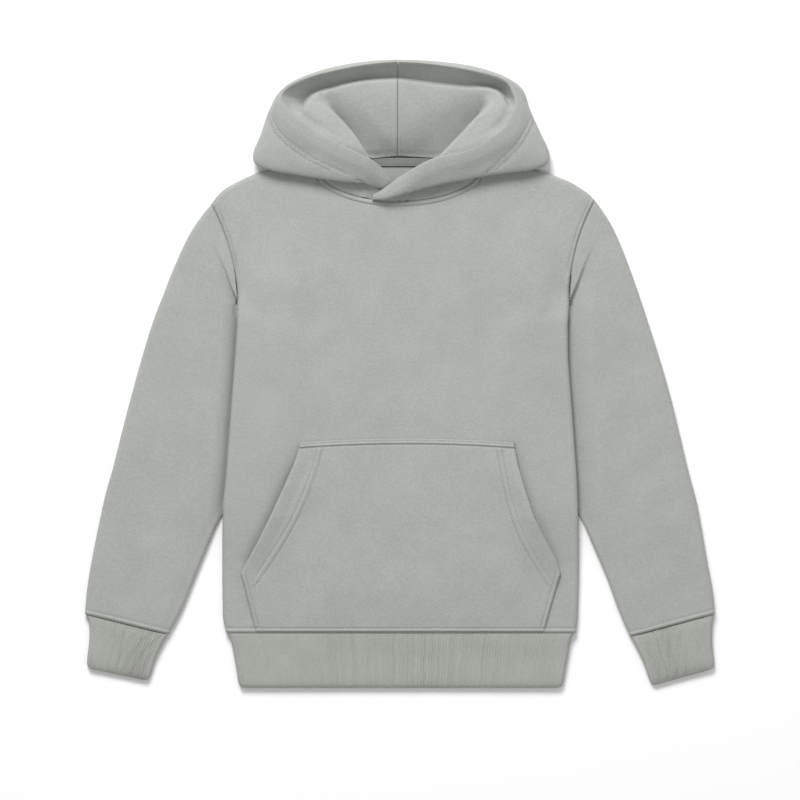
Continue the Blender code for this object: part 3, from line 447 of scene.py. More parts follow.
def panelGrids(back, fine):
    # the panel's face, the way its wall runs in, and how fully it stands up, on a plan between its four edges
    radius = body["laid"] / 2.0
    rolled = radius * body["crisp"]
    strip, total = 9.0, 344.0  # the closely spaced strip at each side, the whole width
    edges = steps((0.0, 4.2, 0.3 * fine), (4.2, strip, 0.8 * fine))[:-1]
    wide = steps((strip, total - 2.0 * strip - 1.0, 2.4 * fine))
    u = np.concatenate((edges, wide, total - edges[::-1]))
    u = (u - u[0]) / (u[-1] - u[0])
    armLength = body["tip"]["left"][1] - body["underarm"]["left"][1] + 4.0
    lowLength = body["underarm"]["left"][1] - body["hem"]
    length = lowLength + armLength
    low = steps((0.0, 7.0, 0.55 * fine), (7.0, lowLength - 24.0, 2.6 * fine),
                (lowLength - 24.0, lowLength, 1.2 * fine))
    high = steps((0.0, 6.0, 0.6 * fine), (6.0, armLength - 14.0, 2.4 * fine),
                 (armLength - 14.0, armLength, 0.55 * fine))
    v = np.concatenate((low, lowLength + high[1:])) / length
    lowYs = body["hem"] + low
    left, right = (np.concatenate((np.stack((sideEdge(side, lowYs), lowYs), axis=1),
                                   armhole(side, 1.0 - high[1:] / armLength)))[:, None]
                   for side in ("left", "right"))
    tips = [np.array(body["tip"][side]) for side in ("left", "right")]
    onU, onV = u[None, :, None], v[:, None, None]
    topX = tips[0][0] * (1.0 - u) + tips[1][0] * u
    top = np.stack((topX, panelTop(topX, back)), axis=1)[None]
    bottom = left[:1] * (1.0 - onU) + right[:1] * onU
    corners = bottom * (1.0 - onV) + (tips[0] * (1.0 - onU) + tips[1] * onU) * onV
    plan = bottom * (1.0 - onV) + top * onV + left * (1.0 - onU) + right * onU - corners

    # the side edges roll over up to the underarm, and the shoulders roll over all along
    edge = np.minimum(u, 1.0 - u)[None, :] * body["halfWidth"]
    fade = 1.0 - ramp(8.0, 40.0, (v * length - lowLength)[:, None])
    onShoulder = (np.abs(topX - body["neckMiddle"]) >= body["neckHalf"])[None, :]
    fromTop = ((1.0 - v) * length)[:, None]
    share = 1.0 - fade * (1.0 - edgeRoll(edge, rolled))
    share = share * np.where(onShoulder, edgeRoll(fromTop, radius), 1.0)
    facing = -1.0 if back else 1.0
    z = bodyLift(plan[..., 0], plan[..., 1], back) + radius + facing * (0.1 + (radius - 0.1) * share)
    lean = np.zeros(z.shape + (3,))
    lean[..., 0] = np.where(u < 0.5, -1.0, 1.0)[None, :] * fade * np.clip(1.0 - edge / rolled, 0.0, 1.0)
    rise = np.where(onShoulder, np.clip(1.0 - fromTop / radius, 0.0, 1.0), 0.0)
    for side, mine in (("left", u < 0.5), ("right", u >= 0.5)):
        up = armholeLines[side][0] - armholeLines[side][1]
        lean[..., :2] += (rise * mine)[..., None] * up / np.linalg.norm(up)
    lean /= np.maximum(1.0, np.linalg.norm(lean, axis=2))[..., None]
    lean[..., 2] = facing * np.sqrt(np.maximum(0.0, 1.0 - lean[..., 0] ** 2 - lean[..., 1] ** 2))
    return np.concatenate((plan, z[..., None]), axis=2), lean, share


def seamRelief(distance, line, ridge):
    # cloth turned under at a seam: a sunk edge, a padded ridge, and a sunk row of stitches
    return (-0.7 * bell(distance, 0.0, 0.8) + ridge * bell(distance, line * 0.52, line * 0.3)
            - 0.65 * bell(distance, line, 0.7))


grid, lean, share = panelGrids(False, 1.0)
x, y = grid[..., 0], grid[..., 1]
relief = body["crown"] * ramp(2.0, 70.0, sideInset(x, y)) * ramp(49.0, 90.0, y)
relief += softFolds(grid, body["frontFolds"])
for side in ("left", "right"):
    seam = seamRelief(farFrom(grid, armholeLines[side]), body["armStitch"], body["armRidge"])
    relief += seam * ramp(*body["armSeen"], y)
fromNeck = farFrom(grid, frontNeckLine)
relief += seamRelief(fromNeck, body["neckStitch"], body["neckRidge"]) + 0.5 * bell(fromNeck, 0.0, 0.8)
relief += seamRelief(y - body["hem"], body["hemStitch"], body["hemRidge"])
for line in body["openingDips"]:
    relief -= body["dip"] * bell(farFrom(grid, line), 0.0, body["dipWidth"])
grid[..., 2] += relief * np.clip(share * 1.4, 0.0, 1.0)
frontPanel = clothPiece("front_body", grid, grid - lean * body["wall"], fleece, ["front_panel"])
frontLook = topOf(grid)
print("hoodie: front panel", grid.shape)

grid, lean = panelGrids(True, 1.6)[:2]
reverse = grid - lean * body["wall"]
reverse[..., 2] += np.abs(softFolds(grid, body["backFolds"])) * 0.5
backPanel = clothPiece("back_body", grid, reverse, fleece, ["back_panel"])
print("hoodie: back panel", grid.shape)


sleeves = {
    "wall": 1.8, "cuffStitch": 4.3, "cuffRidge": 1.1, "rollPoints": 8, "floorPoints": 14,
    # armhole to cuff: outer x, y, inner x, y, share of the armhole's bow
    "left": (
        (-170, 435.5, -146.5, 347, 1), (-177, 427, -146.6, 345, 0.8), (-186.5, 413.5, -146.4, 342, 0.5),
        (-195.5, 396.5, -146, 337.5, 0.25), (-204.5, 376, -144.8, 330, 0.1), (-213, 354.5, -138, 319, 0),
        (-222, 331, -130.5, 304, 0), (-231.5, 300.5, -126.5, 276, 0), (-241, 266.5, -128.5, 241, 0),
        (-250, 232, -137.5, 205.5, 0), (-258.5, 198, -150.5, 172, 0), (-265, 175, -162.5, 152.5, 0),
        (-271, 148, -173, 128.5, 0), (-277, 118, -184.5, 100, 0), (-281.8, 89, -196.5, 70.5, 0),
        (-283.8, 66.4, -208.3, 48, 0)),
    "right": (
        (175.5, 439, 152.5, 347, 1), (182, 430, 152.2, 345, 0.8), (190.5, 416.5, 151.8, 342, 0.5),
        (199, 398, 151.2, 337.5, 0.25), (207.5, 376, 149.4, 330, 0.1), (215, 354.5, 142.5, 319, 0),
        (222.8, 331, 134.5, 304, 0), (232.5, 300.5, 130.5, 276, 0), (242, 268, 132.5, 241, 0),
        (251, 232, 141.5, 205.5, 0), (259.5, 196, 152.5, 172, 0), (266.5, 170, 163.5, 152.5, 0),
        (271.5, 144, 174.5, 127, 0), (276.5, 115, 186, 100, 0), (281.4, 88.5, 196.8, 70.5, 0),
        (283.6, 66.6, 207.2, 46.2, 0)),
    "roll": {"left": 14.0, "right": 20.0}, "high": 8.5, "low": 1.9,
    # the crease from the sleeve's cap to the underarm
    "leftCrease": ((-170.5, 401.0), (-165.1, 390.0), (-158.0, 375.0), (-152.0, 358.4), (-147.0, 347.4)),
    "rightCrease": ((176.5, 401.3), (168.9, 384.8), (162.6, 368.5), (155.6, 352.6), (153.0, 347.4)),
    "creaseRun": (408.0, 338.0), "creaseWidth": 7.0, "slope": {"left": 1.9, "right": 1.25},
    "leftFolds": (
        (-198, 402, -168, 290, 13, 0.8), (-228, 300, -166, 262, 13, -0.8), (-240, 262, -170, 228, 12, 0.6),
        (-252, 206, -186, 170, 13, -0.7), (-262, 150, -206, 118, 13, 0.6), (-276, 102, -226, 78, 9, -0.5)),
    "rightFolds": (
        (194, 404, 178, 300, 12, 0.8), (230, 304, 170, 272, 14, -0.7), (238, 262, 176, 238, 12, 0.6),
        (254, 210, 190, 166, 13, -0.8), (262, 158, 208, 112, 12, 0.6), (272, 100, 226, 74, 9, -0.5)),
}


def sleeveHeight(side, x, y):
    outside = sideEdge(side, y) - x if side == "left" else x - sideEdge(side, y)
    return body["laid"] - (body["laid"] - body["tucked"]) * tuckWindow(y) * (1.0 - ramp(0.0, 24.0, outside))


def sleeveGrid(side):
    # rings from the armhole to the cuff, each over the top, round the inner roll and back along the floor
    turn = 1.0 if side == "left" else -1.0
    spacing = steps((0.0, 0.45, 0.05), (0.45, 14.4, 0.14), (14.4, 15.0, 0.04))
    f = steps((0.0, 0.64, 0.026), (0.64, 1.0, 0.009))
    angles = np.radians(np.linspace(0.0, 84.0, sleeves["rollPoints"]))
    back = np.linspace(1.0, 0.0, sleeves["floorPoints"])
    rings = []
    for number, row in enumerate(splineLine(sleeves[side], spacing)):
        outer, chord = row[0:2], row[2:4] - row[0:2]
        width = np.linalg.norm(chord)
        along = chord / width
        sideways = np.array((-along[1], along[0])) * turn
        bow = body["bow"][side] * max(row[4], 0.0)
        away = sideways * (-0.15 if number == 0 else 0.0)  # the first ring leaves a gap at the armhole

        def plan(distance):
            distance = np.asarray(distance)[..., None]
            share = distance / width
            return outer + along * distance + sideways * bow * 4.0 * share * (1.0 - share) + away

        near, far = (float(sleeveHeight(side, *plan(d))) / 2.0 for d in (2.0, width - 2.0))
        run = width - near - far
        middle = near + run * f
        ends = 2.0 * (near * (1.0 - f) + far * f)
        edge = np.maximum(1.0 - middle / 8.0, 0.0) + np.maximum(1.0 - (width - middle) / 8.0, 0.0)
        top = sleeveHeight(side, *plan(middle).T) * (1.0 - edge) + ends * edge
        outerRoll, innerRoll = near * (1.0 - np.cos(angles)), width - far * (1.0 - np.cos(angles))
        distances = np.concatenate((outerRoll, middle, innerRoll[::-1], innerRoll[1:],
                                    near + run * back, outerRoll[:0:-1]))
        heights = np.concatenate((near * (1.0 + np.sin(angles)), top, far * (1.0 + np.sin(angles[::-1])),
                                  far * (1.0 - np.sin(angles[1:])), np.zeros(len(back)),
                                  near * (1.0 - np.sin(angles[:0:-1]))))
        rings.append(np.concatenate((plan(distances), heights[:, None]), axis=1))
    return np.array(rings)


def shapeSleeve(side, grid, innerEdge, cuffLine):
    # folds, the crease to the underarm, the roll below the body, and the seams
    x, y = grid[..., 0], grid[..., 1]
    turn = -1.0 if side == "left" else 1.0
    plain = sleeveHeight(side, x, y)
    high = ramp(0.55, 0.95, grid[..., 2] / plain)
    outside = (x - armholeX(side, y)) * turn
    belowArm = ramp(1.0, -3.0, outside) * ramp(347.0, 335.0, y)
    relief = softFolds(grid, sleeves[side + "Folds"]) * (1.0 - belowArm)

    # the sleeve folds under itself along a crease to the underarm, then rolls down to pass below the body
    downBody = np.linspace(336.0, 120.0, 30)
    bodySide = np.stack((sideEdge(side, downBody), downBody), axis=1)
    beyond = signedFrom(grid, np.concatenate((sleeves[side + "Crease"], bodySide))) * turn
    depth = ramp(*sleeves["creaseRun"], y)
    width = sleeves["creaseWidth"] + (sleeves["roll"][side] - sleeves["creaseWidth"]) * depth
    inward = 1.0 - np.clip(beyond / width, 0.0, 1.0)
    fall = (sleeves["high"] - sleeves["low"]) * inward ** sleeves["slope"][side]
    rolled = body["laid"] + (sleeves["high"] - body["laid"] - fall) * depth
    rolled += (body["laid"] - rolled) * ramp(0.0, -1.8, beyond) * ramp(344.5, 347.5, y)
    lower = ramp(138.0, 168.0, y)
    relief = relief * (1.0 - depth * lower * ramp(0.0, 0.6, inward)) + (rolled - plain) * lower

    relief -= 0.9 * bell(farFrom(grid, armholeLines[side]), 0.0, 1.3) * ramp(372.0, 392.0, y)
    relief += seamRelief(farFrom(grid, cuffLine), sleeves["cuffStitch"], sleeves["cuffRidge"])
    relief -= 0.9 * ramp(9.0, 0.0, farFrom(grid, innerEdge)) * (1.0 - depth * lower)
    ceiling = np.maximum(plain + relief, sleeves["low"])
    grid[..., 2] = np.minimum(np.maximum(grid[..., 2] + relief * high, sleeves["low"] * high), ceiling)


sleeveTops, cuffLines = {}, {}
for side in ("left", "right"):
    grid = sleeveGrid(side)
    topCount = grid.shape[1] - 2 * (sleeves["rollPoints"] - 1) - sleeves["floorPoints"]
    cuffLines[side] = np.reshape(sleeves[side][-1][:4], (2, 2))
    shapeSleeve(side, grid, grid[:, topCount - sleeves["rollPoints"] - 1, :2].copy(), cuffLines[side])
    normals = gridNormals(grid, True)
    ring = 40  # any ring tells which way the normals face
    if np.sum(normals[ring] * (grid[ring] - grid[ring].mean(axis=0))) < 0.0:
        normals = -normals
    inner = grid - normals * sleeves["wall"]
    inner[..., 2] = np.maximum(inner[..., 2], 0.1)
    tube = clothPiece("sleeve_" + side + "_cloth", grid, inner, sleeveShadedFleece, ["sleeve_" + side], closed=True)
    sleeveTops[side] = topOf(grid[:, :topCount])
    print("hoodie: sleeve", side, grid.shape)


ribs = {
    "depth": 0.55, "perRib": 6, "rollPoints": 12, "floorPoints": 40,
    "level": 4.0, "inward": 0.55, "inset": 0.012,  # inner side: middle height, pull towards it, inset
    # seam to free edge: left x, y, right x, y, thickness
    "waistband": (
        (-155, 49.1, 156.8, 49.1, 8.4), (-152.6, 44, 154.2, 44, 8.5), (-149.3, 28, 151.2, 28, 7.9),
        (-147.2, 16, 149, 16, 7.8), (-145.6, 6, 147.3, 6, 7.4), (-144.2, 2.2, 145.9, 2.2, 6.6),
        (-142.2, 0.4, 144, 0.4, 5), (-141.2, 0, 143, 0, 4)),
    "cuffLeft": (
        (-282.4, 65.7, -209, 47.7, 7.2), (-280.6, 60.5, -212, 42.5, 7.9),
        (-279.6, 52.5, -215.2, 36.5, 7.9), (-280.2, 39.5, -219.8, 27, 7.8),
        (-281.8, 25.5, -223.8, 14, 7.4), (-281.6, 20.8, -225.6, 9.2, 6.4), (-280.2, 18, -227.4, 7.3, 5),
        (-278.4, 17, -229.6, 6.8, 4)),
    "cuffRight": (
        (207.9, 45.8, 282.5, 65.8, 7.2), (210.4, 40.8, 281.6, 60, 7.9), (213.3, 35.2, 281, 51, 7.9),
        (218.4, 24.6, 281.4, 37.5, 7.8), (223.4, 10.8, 283, 24.4, 7.4), (225, 6, 283.1, 20.2, 6.4),
        (226.8, 3.4, 281.6, 17.4, 5), (229, 2.2, 279.6, 16.4, 4)),
    # how clearly the ribs show across each piece, left to right
    "clear": {"waistband": (0.5, 0.8, 1.25, 1.5, 1.4, 1.0, 0.6), "cuffLeft": (0.4, 0.6, 1.1, 1.8, 2.0, 1.6),
              "cuffRight": (1.6, 2.0, 1.7, 1.1, 0.75, 0.5)},
}


def ribGrid(table, count, clear, seed):
    # rings from the seam to the folded edge, with a wave for each rib across the top
    rng = np.random.default_rng(seed)
    share = np.linspace(0.0, 1.0, count * ribs["perRib"] + 1)
    eachRib = np.linspace(0.0, 1.0, count + 1)
    uneven = np.interp(share, eachRib, rng.normal(0.0, 0.16, count + 1) / count)
    deep = np.interp(share, eachRib, rng.uniform(0.45, 1.2, count + 1))
    deep *= np.interp(share, np.linspace(0.0, 1.0, len(clear)), clear)
    groove = ribs["depth"] * (1.0 - (0.5 + 0.5 * np.cos(2.0 * np.pi * share * count)) ** 0.8) * deep
    angles = np.radians(np.linspace(75.0, -90.0, ribs["rollPoints"]))
    stations = steps((0.0, 1.0, 0.2), (1.0, 4.0, 0.2), (4.0, 7.0, 0.33))
    grid = []
    for number, row in enumerate(splineLine(table, stations)):
        left, right, height = row[0:2], row[2:4], row[4]
        radius = height / 2.0
        width = np.linalg.norm(right - left)
        along = (right - left) / width
        run = width - 2.0 * radius
        wander = 0.18 / count * np.sin(number * 0.55 + share * 40.0)
        roll, rise = radius * (1.0 - np.cos(angles)), radius * (1.0 + np.sin(angles))
        distance = np.concatenate((radius + run * np.clip(share + uneven + wander, 0.0, 1.0), width - roll,
                                   radius + run * np.linspace(0.98, 0.02, ribs["floorPoints"]), roll[::-1]))
        z = np.concatenate((height - groove, rise, np.zeros(ribs["floorPoints"]), rise[::-1]))
        grid.append(np.concatenate((left + along * distance[:, None], z[:, None]), axis=1))
    return np.array(grid)


for name, node, key, count, seed, flat in (
        ("waistband_rib", "waistband", "waistband", 118, 3, (0.62, 0.049)),
        ("cuff_left_rib", "cuff_left", "cuffLeft", 30, 5, (0.155, 0.055)),
        ("cuff_right_rib", "cuff_right", "cuffRight", 30, 7, (0.155, 0.055))):
    grid = ribGrid(ribs[key], count, ribs["clear"][key], seed)
    inner = grid - (grid - grid.mean(axis=1, keepdims=True)) * ribs["inset"]
    inner[..., 2] = grid[..., 2] + (ribs["level"] - grid[..., 2]) * ribs["inward"]
    piece = clothPiece(name, grid, inner, ribKnit, [node], closed=True)
    print("hoodie:", name, grid.shape)


pocket = {
    "wall": 1.9, "gap": 0.35, "bow": 3.6, "band": 5.4, "sinks": 1.9, "sideStitch": 4.2,
    "topEdge": (-90.0, 102.5), "corner": 104.5,  # the top edge's ends, and where the openings begin
    # hem to top: left x, right x, y, lift of the edges
    "outline": (
        (-129.9, 129.8, 49.8, 0), (-134.7, 134.8, 69, 0), (-139.4, 140.2, 87.5, 0),
        (-143.6, 144.8, 103.5, 0.1), (-136.5, 140.2, 116.5, 1.6), (-129, 132.6, 130, 3),
        (-117, 120.6, 154, 4.2), (-105, 112.2, 180, 4), (-95.5, 106, 202, 2.2), (-91, 103.4, 216, 0.4),
        (-90.6, 103.2, 221, 0)),
    # rows of stitches that hold the openings' hems, outer then inner
    "hemLines": {
        "left": (
            ((-74.9, 214.5), (-77.1, 204.2), (-83.6, 185), (-90, 168.8), (-97.5, 152.5), (-105.5, 138.3),
             (-115.7, 122.3), (-125.4, 107.8), (-133.4, 95.8)),
            ((-69.9, 215), (-72.6, 203.4), (-78.8, 184.1), (-85.4, 166.8), (-92.6, 151), (-100.9, 135.1),
             (-110.9, 119.1), (-121.3, 104), (-131.8, 91.4))),
        "right": (
            ((91.8, 214), (93.6, 204), (96.8, 187), (101, 168), (106.6, 149.5), (112.3, 136), (121, 120),
             (129, 107), (136, 96.5)),
            ((87, 214), (89, 203), (92.1, 185), (96.3, 166), (101.6, 148), (107.3, 133.6), (116.3, 117.3),
             (125.6, 103), (133.6, 91.8)))},
    "tack": {"left": ((-143.2, 106.0), (-139.8, 101.5)), "right": ((144.6, 106.0), (141.2, 101.5))},
    "folds": (
        (-70, 90, 60, 104, 16, 0.5), (-110, 120, -60, 190, 12, -0.5), (116, 122, 72, 196, 12, -0.5),
        (-40, 176, 70, 160, 18, 0.6)),
}
outline = np.array(pocket["outline"])
pocketLow, pocketHigh = outline[0, 2], outline[-1, 2]


def pocketGrid():
    ys = steps((pocketLow, 57.0, 0.55), (57.0, 209.0, 1.9), (209.0, pocketHigh, 0.55))
    left, right, lift = (np.interp(ys, outline[:, 2], outline[:, k]) for k in (0, 1, 3))
    across = steps((0.0, 26.0, 0.62), (26.0, 209.0, 2.3), (209.0, 235.0, 0.62)) / 235.0
    face, reverse = [], []
    for y0, xl, xr, raised in zip(ys, left, right, lift):
        share = (y0 - pocketLow) / (pocketHigh - pocketLow)
        for f in across:
            x0 = xl * (1.0 - f) + xr * f
            y1 = y0 + pocket["bow"] * share * 4.0 * f * (1.0 - f)
            hit = frontLook(x0, y1)
            base = max(hit[0].z if hit else 8.0, float(bodyLift(x0, y1, False)) + body["laid"] + 0.3)
            base += pocket["gap"] + raised * (1.0 - float(ramp(0.0, 0.17, min(f, 1.0 - f))))
            base -= pocket["sinks"] * float(ramp(54.0, pocketLow, y1))
            thin = 0.55 + 0.45 * float(ramp(50.0, 66.0, y1))  # the hem end is pressed thin in its seam
            reverse.append((x0, y1, base))
            face.append((x0, y1, base + pocket["wall"] * thin))
    return (np.reshape(points, (len(ys), len(across), 3)) for points in (face, reverse))


def pocketSide(side, low, high):
    ys = np.linspace(low, high, 30)
    return np.stack((np.interp(ys, outline[:, 2], outline[:, 0 if side == "left" else 1]), ys), axis=1)


grid, reverse = pocketGrid()
share = np.linspace(0.0, 1.0, 40)
topLine = np.stack((np.interp(share, (0.0, 1.0), pocket["topEdge"]),
                    pocketHigh + pocket["bow"] * 4.0 * share * (1.0 - share)), axis=1)
openings = {side: pocketSide(side, pocket["corner"], pocketHigh) for side in ("left", "right")}
sides = {side: pocketSide(side, pocketLow, pocket["corner"]) for side in ("left", "right")}
fromTop = farFrom(grid, topLine)
fromOpening = np.minimum(farFrom(grid, openings["left"]), farFrom(grid, openings["right"]))
fromSide = np.minimum(farFrom(grid, sides["left"]), farFrom(grid, sides["right"]))
edge = np.minimum(np.minimum(fromTop, fromOpening), fromSide)
relief = softFolds(grid, pocket["folds"]) - (pocket["wall"] - 0.2) * (1.0 - edgeRoll(edge, 1.7))
inBand = ramp(4.9, 6.4, fromTop)
hemLines = {side: [np.array(line) for line in pocket["hemLines"][side]] for side in ("left", "right")}
for side in ("left", "right"):
    rows = (*hemLines[side], sum(hemLines[side]) / 2.0)
    outerRow, innerRow, between = (farFrom(grid, row) for row in rows)
    relief += inBand * (0.45 * bell(between, 0.0, 1.5) - 0.5 * bell(outerRow, 0.0, 0.7)
                        - 0.65 * bell(innerRow, 0.0, 0.7))
relief += (1.0 - ramp(3.0, 16.0, fromOpening)) * 0.5 * ramp(0.0, 2.0, fromOpening)
# the top edge's hem, its fold and its row of stitches
for middle, width, height in ((3.6, 1.0, 0.75), (0.9, 0.8, 0.45), (2.0, 0.5, -0.3),
                              (pocket["band"], 0.7, -0.7)):
    relief += height * bell(fromTop, middle, width)
sideShare = ramp(107.0, 101.0, grid[..., 1]) * ramp(53.0, 56.0, grid[..., 1])
relief += sideShare * (bell(fromSide, 2.1, 1.1) - 0.8 * bell(fromSide, pocket["sideStitch"], 0.6))
relief += seamRelief(grid[..., 1] - body["hem"], body["hemStitch"], 0.8)
grid[..., 2] += relief
pocketPiece = clothPiece("front_pocket", grid, reverse, fleece, ["kangaroo_pocket"])
pocketLook = topOf(grid)
pocketLines = [offsetLine(topLine, -pocket["band"])[1:-1], np.array(((-127.5, 53.8), (127.5, 53.8)))]
for side, turn in (("left", -1.0), ("right", 1.0)):
    pocketLines += hemLines[side]
    pocketLines.append(offsetLine(sides[side], turn * pocket["sideStitch"])[2:-2])
    corner = np.array(pocket["tack"][side])
    pocketLines += [corner, corner + np.array((turn, 1.6))]
print("hoodie: pocket", grid.shape)


hood = {
    "half": 1.0, "brimHalf": 1.5, "seam": -2.0, "overhang": 1.7, "tucked": 2.2,
    "foldsFrom": {"left": 4, "right": 0},  # the station where each side's fold begins
    # how deep the hood sits in the neckline, where it must, and the heights that are raised onto the body
    "seat": 0.95, "seatBelow": 474.0, "onBody": (6.3, 8.8),
    # centre front to centre back: neck x, y, z, rise z, underside x, y, z,
    # fold x, y, low z, high z, brim x, y, z
    "left": (
        (21.5, 440, 4, 4.2, 21, 441, 4.5, 20, 442, 4.9, 5.1, 18, 444.5, 5.6),
        (4.5, 438.8, 5.6, 6, 5.5, 441, 6.3, 6.5, 444, 6.8, 7.2, 8.5, 450, 8),
        (-11, 439.5, 6.4, 6.9, -9.8, 442.5, 7.8, -8, 447, 9.2, 10.2, -4, 457, 13),
        (-24.5, 441.7, 7, 7.8, -23, 446, 9.6, -21, 451.5, 12.2, 14, -15.5, 467.5, 20.5),
        (-36, 445, 7.2, 8.8, -33, 458.5, 11.4, -35, 456.4, 14.6, 18.8, -28.3, 477, 27.5),
        (-51.5, 451.5, 7, 9.8, -50, 463.5, 12.5, -53, 458, 15.5, 20.5, -45, 484.5, 31),
        (-63, 458.5, 7, 9.8, -66.5, 465, 11.5, -71, 460.5, 14.5, 20, -61, 492.5, 32),
        (-71.5, 465.8, 6.9, 9.8, -79, 466, 10.4, -90, 463.5, 12.8, 19, -79, 503.5, 32),
        (-76.3, 473.5, 5.4, 9.8, -92, 470.5, 10.2, -117, 468.5, 11, 18, -92.5, 514, 31.5),
        (-75.5, 479.6, 4, 9.8, -87.5, 481.5, 9.8, -128, 473.5, 8.5, 16, -99.5, 520, 31),
        (-69, 482.2, 1.5, 1.6, -92, 489.5, 1.8, -129.8, 481.5, 3, 13, -103.5, 524.5, 30.5),
        (-57.5, 480.5, 1.1, 1.1, -88, 498.5, 1.1, -123.2, 498.5, 2, 12.5, -106, 531.5, 29.5),
        (-41.5, 479.2, 1.1, 1.1, -75.5, 509.5, 1.1, -115.6, 520, 1.8, 12, -103, 538, 28.5),
        (-25, 478.7, 1.1, 1.1, -54, 518.5, 1.1, -104.6, 538, 1.8, 11.5, -93.5, 543.8, 27.5),
        (-12.5, 478.6, 1.1, 1.1, -25, 524, 1.1, -67, 555.2, 1.8, 11, -62, 553.6, 26.5),
        (-2, 478.6, 1.1, 1.1, -2, 525.5, 1.1, -2, 563.2, 1.8, 11, -2, 562, 26)),
    "right": (
        (-24.6, 441.7, 9.4, 9.9, -24.3, 441.9, 10.4, -24, 442, 10.9, 11.3, -23.2, 442.9, 11.9),
        (-12.5, 439.8, 9, 9.8, -12.5, 444, 11.8, -13.5, 442.5, 13.6, 16.2, -12, 450.5, 17.5),
        (0, 438.7, 9, 9.6, 0, 448, 13.2, -1.5, 445.5, 15.4, 19.2, -1.5, 459, 22.5),
        (13.5, 439.5, 8.8, 9.6, 14, 453, 13.3, 13, 449.5, 16, 20.3, 11, 466.6, 27),
        (27, 442.2, 7.8, 9.2, 27.5, 457, 12.8, 27, 453, 15.8, 20.8, 24.5, 473.8, 30),
        (40.5, 446.7, 7.1, 9.8, 42.5, 460.5, 12.5, 41.5, 456.5, 15.5, 20.8, 38.5, 478.6, 31.5),
        (52, 452.5, 7, 9.8, 56.5, 463, 12.2, 57, 459, 15, 20.5, 54, 481.4, 32),
        (62, 459.5, 7, 9.8, 68.5, 465, 11.4, 74, 462.5, 14, 20, 70, 487.6, 32.5),
        (69.5, 466.3, 6.9, 9.8, 77.5, 466.5, 10.4, 94.5, 465.5, 12.6, 19, 83, 496.6, 32.5),
        (74, 473.5, 5.4, 9.8, 89, 470.5, 10.2, 118, 468.5, 11, 18, 94, 505, 32),
        (73.5, 479.6, 4, 9.8, 84.5, 481.8, 9.8, 130, 473.5, 8.5, 16, 99.5, 514, 31.5),
        (67, 482.2, 1.5, 1.6, 90, 490, 1.8, 132, 481.5, 3, 13, 102, 521, 31),
        (56, 480.5, 1.1, 1.1, 87.5, 498.5, 1.1, 123.4, 501.5, 2, 12.5, 103, 528.5, 30),
        (39.5, 479.2, 1.1, 1.1, 74, 509.5, 1.1, 114.6, 521, 1.8, 12, 101, 535.5, 29),
        (22.5, 478.7, 1.1, 1.1, 52, 518.5, 1.1, 107.2, 539.6, 1.8, 11.5, 95.5, 544.5, 28),
        (10, 478.6, 1.1, 1.1, 23.5, 524, 1.1, 75, 555.4, 1.8, 11, 69, 553.4, 26.5),
        (-2, 478.6, 1.1, 1.1, -2, 525.5, 1.1, -2, 563.2, 1.8, 11, -2, 562, 26)),
    # short creases pressed in near the neck: the hook at the end of the left fold, and below the right front
    "leftCreases": (((-38.0, 457.0), (-33.5, 455.0), (-29.3, 450.6)),),
    "rightCreases": (
        ((12.8, 447.2), (9.6, 443.4), (6, 439.6)),
        ((5, 446), (2.4, 443), (-0.6, 440))),
    # the two rows of topstitching that hold the brim's turned edge
    "leftStitch": (
        ((-117.6, 519), (-115.4, 513.6), (-109.2, 501), (-101, 492.7), (-93.6, 487.2), (-84.4, 480.7),
         (-75.2, 475.2), (-61.5, 468.8), (-47.7, 462.3)),
        ((-120.2, 517), (-118, 511.4), (-111.9, 498.2), (-103.3, 489.6), (-95.6, 483.8), (-86.2, 477.4),
         (-76.8, 471.8), (-63.2, 465.4))),
    "rightStitch": (
        ((118.5, 516), (114.9, 506.4), (110.3, 497.3), (103, 487.2), (95.6, 479.8), (88.2, 473.4),
         (82.8, 467.8), (76.3, 463.2)),
        ((121.5, 514), (118.2, 504.8), (113.4, 495.2), (106, 485), (98.4, 477.2), (91, 470.9), (85.4, 466))),
}


def seatInNeck(point):
    away = frontNeckLine - point[:2]
    nearest = int(np.argmin(np.linalg.norm(away, axis=1)))
    tangent = frontNeckLine[min(nearest + 1, len(away) - 1)] - frontNeckLine[max(nearest - 1, 0)]
    inward = np.array((-tangent[1], tangent[0])) / np.linalg.norm(tangent)
    move = hood["seat"] + float(away[nearest] @ inward)
    if point[1] >= hood["seatBelow"]:
        move = max(0.0, move)
    low, high = hood["onBody"]
    return np.array((*(point[:2] + inward * move), high if low < point[2] < high else point[2]))


def hoodControls(row, folded):
    # one station's seven control points, from the neck seam over the fold to the brim
    neck, under, brim = seatInNeck(row[0:3]), row[4:7].copy(), row[11:14]
    rise = np.array((*(neck[:2] * 0.94 + under[:2] * 0.06), row[3] + (0.5 if folded else 0.0)))
    low, high = row[[7, 8, 9]], row[[7, 8, 10]]
    wing = high * 0.45 + brim * 0.55 + np.array((0.0, 0.0, 1.6))
    # the fold overhangs a little, and the cloth below it comes up close to it
    away = (high - brim)[:2] / max(np.linalg.norm((high - brim)[:2]), 1.0)
    share = float(ramp(536.0, 500.0, row[8])) if folded else 0.0
    high[:2] += away * hood["overhang"] * share
    low[:2] -= away * hood["tucked"] * share
    high[2] += 0.4 * share
    low[2] -= 1.3 * share
    under[2] -= 0.3 * share
    return np.array((neck, rise, under, low, high, wing, brim))


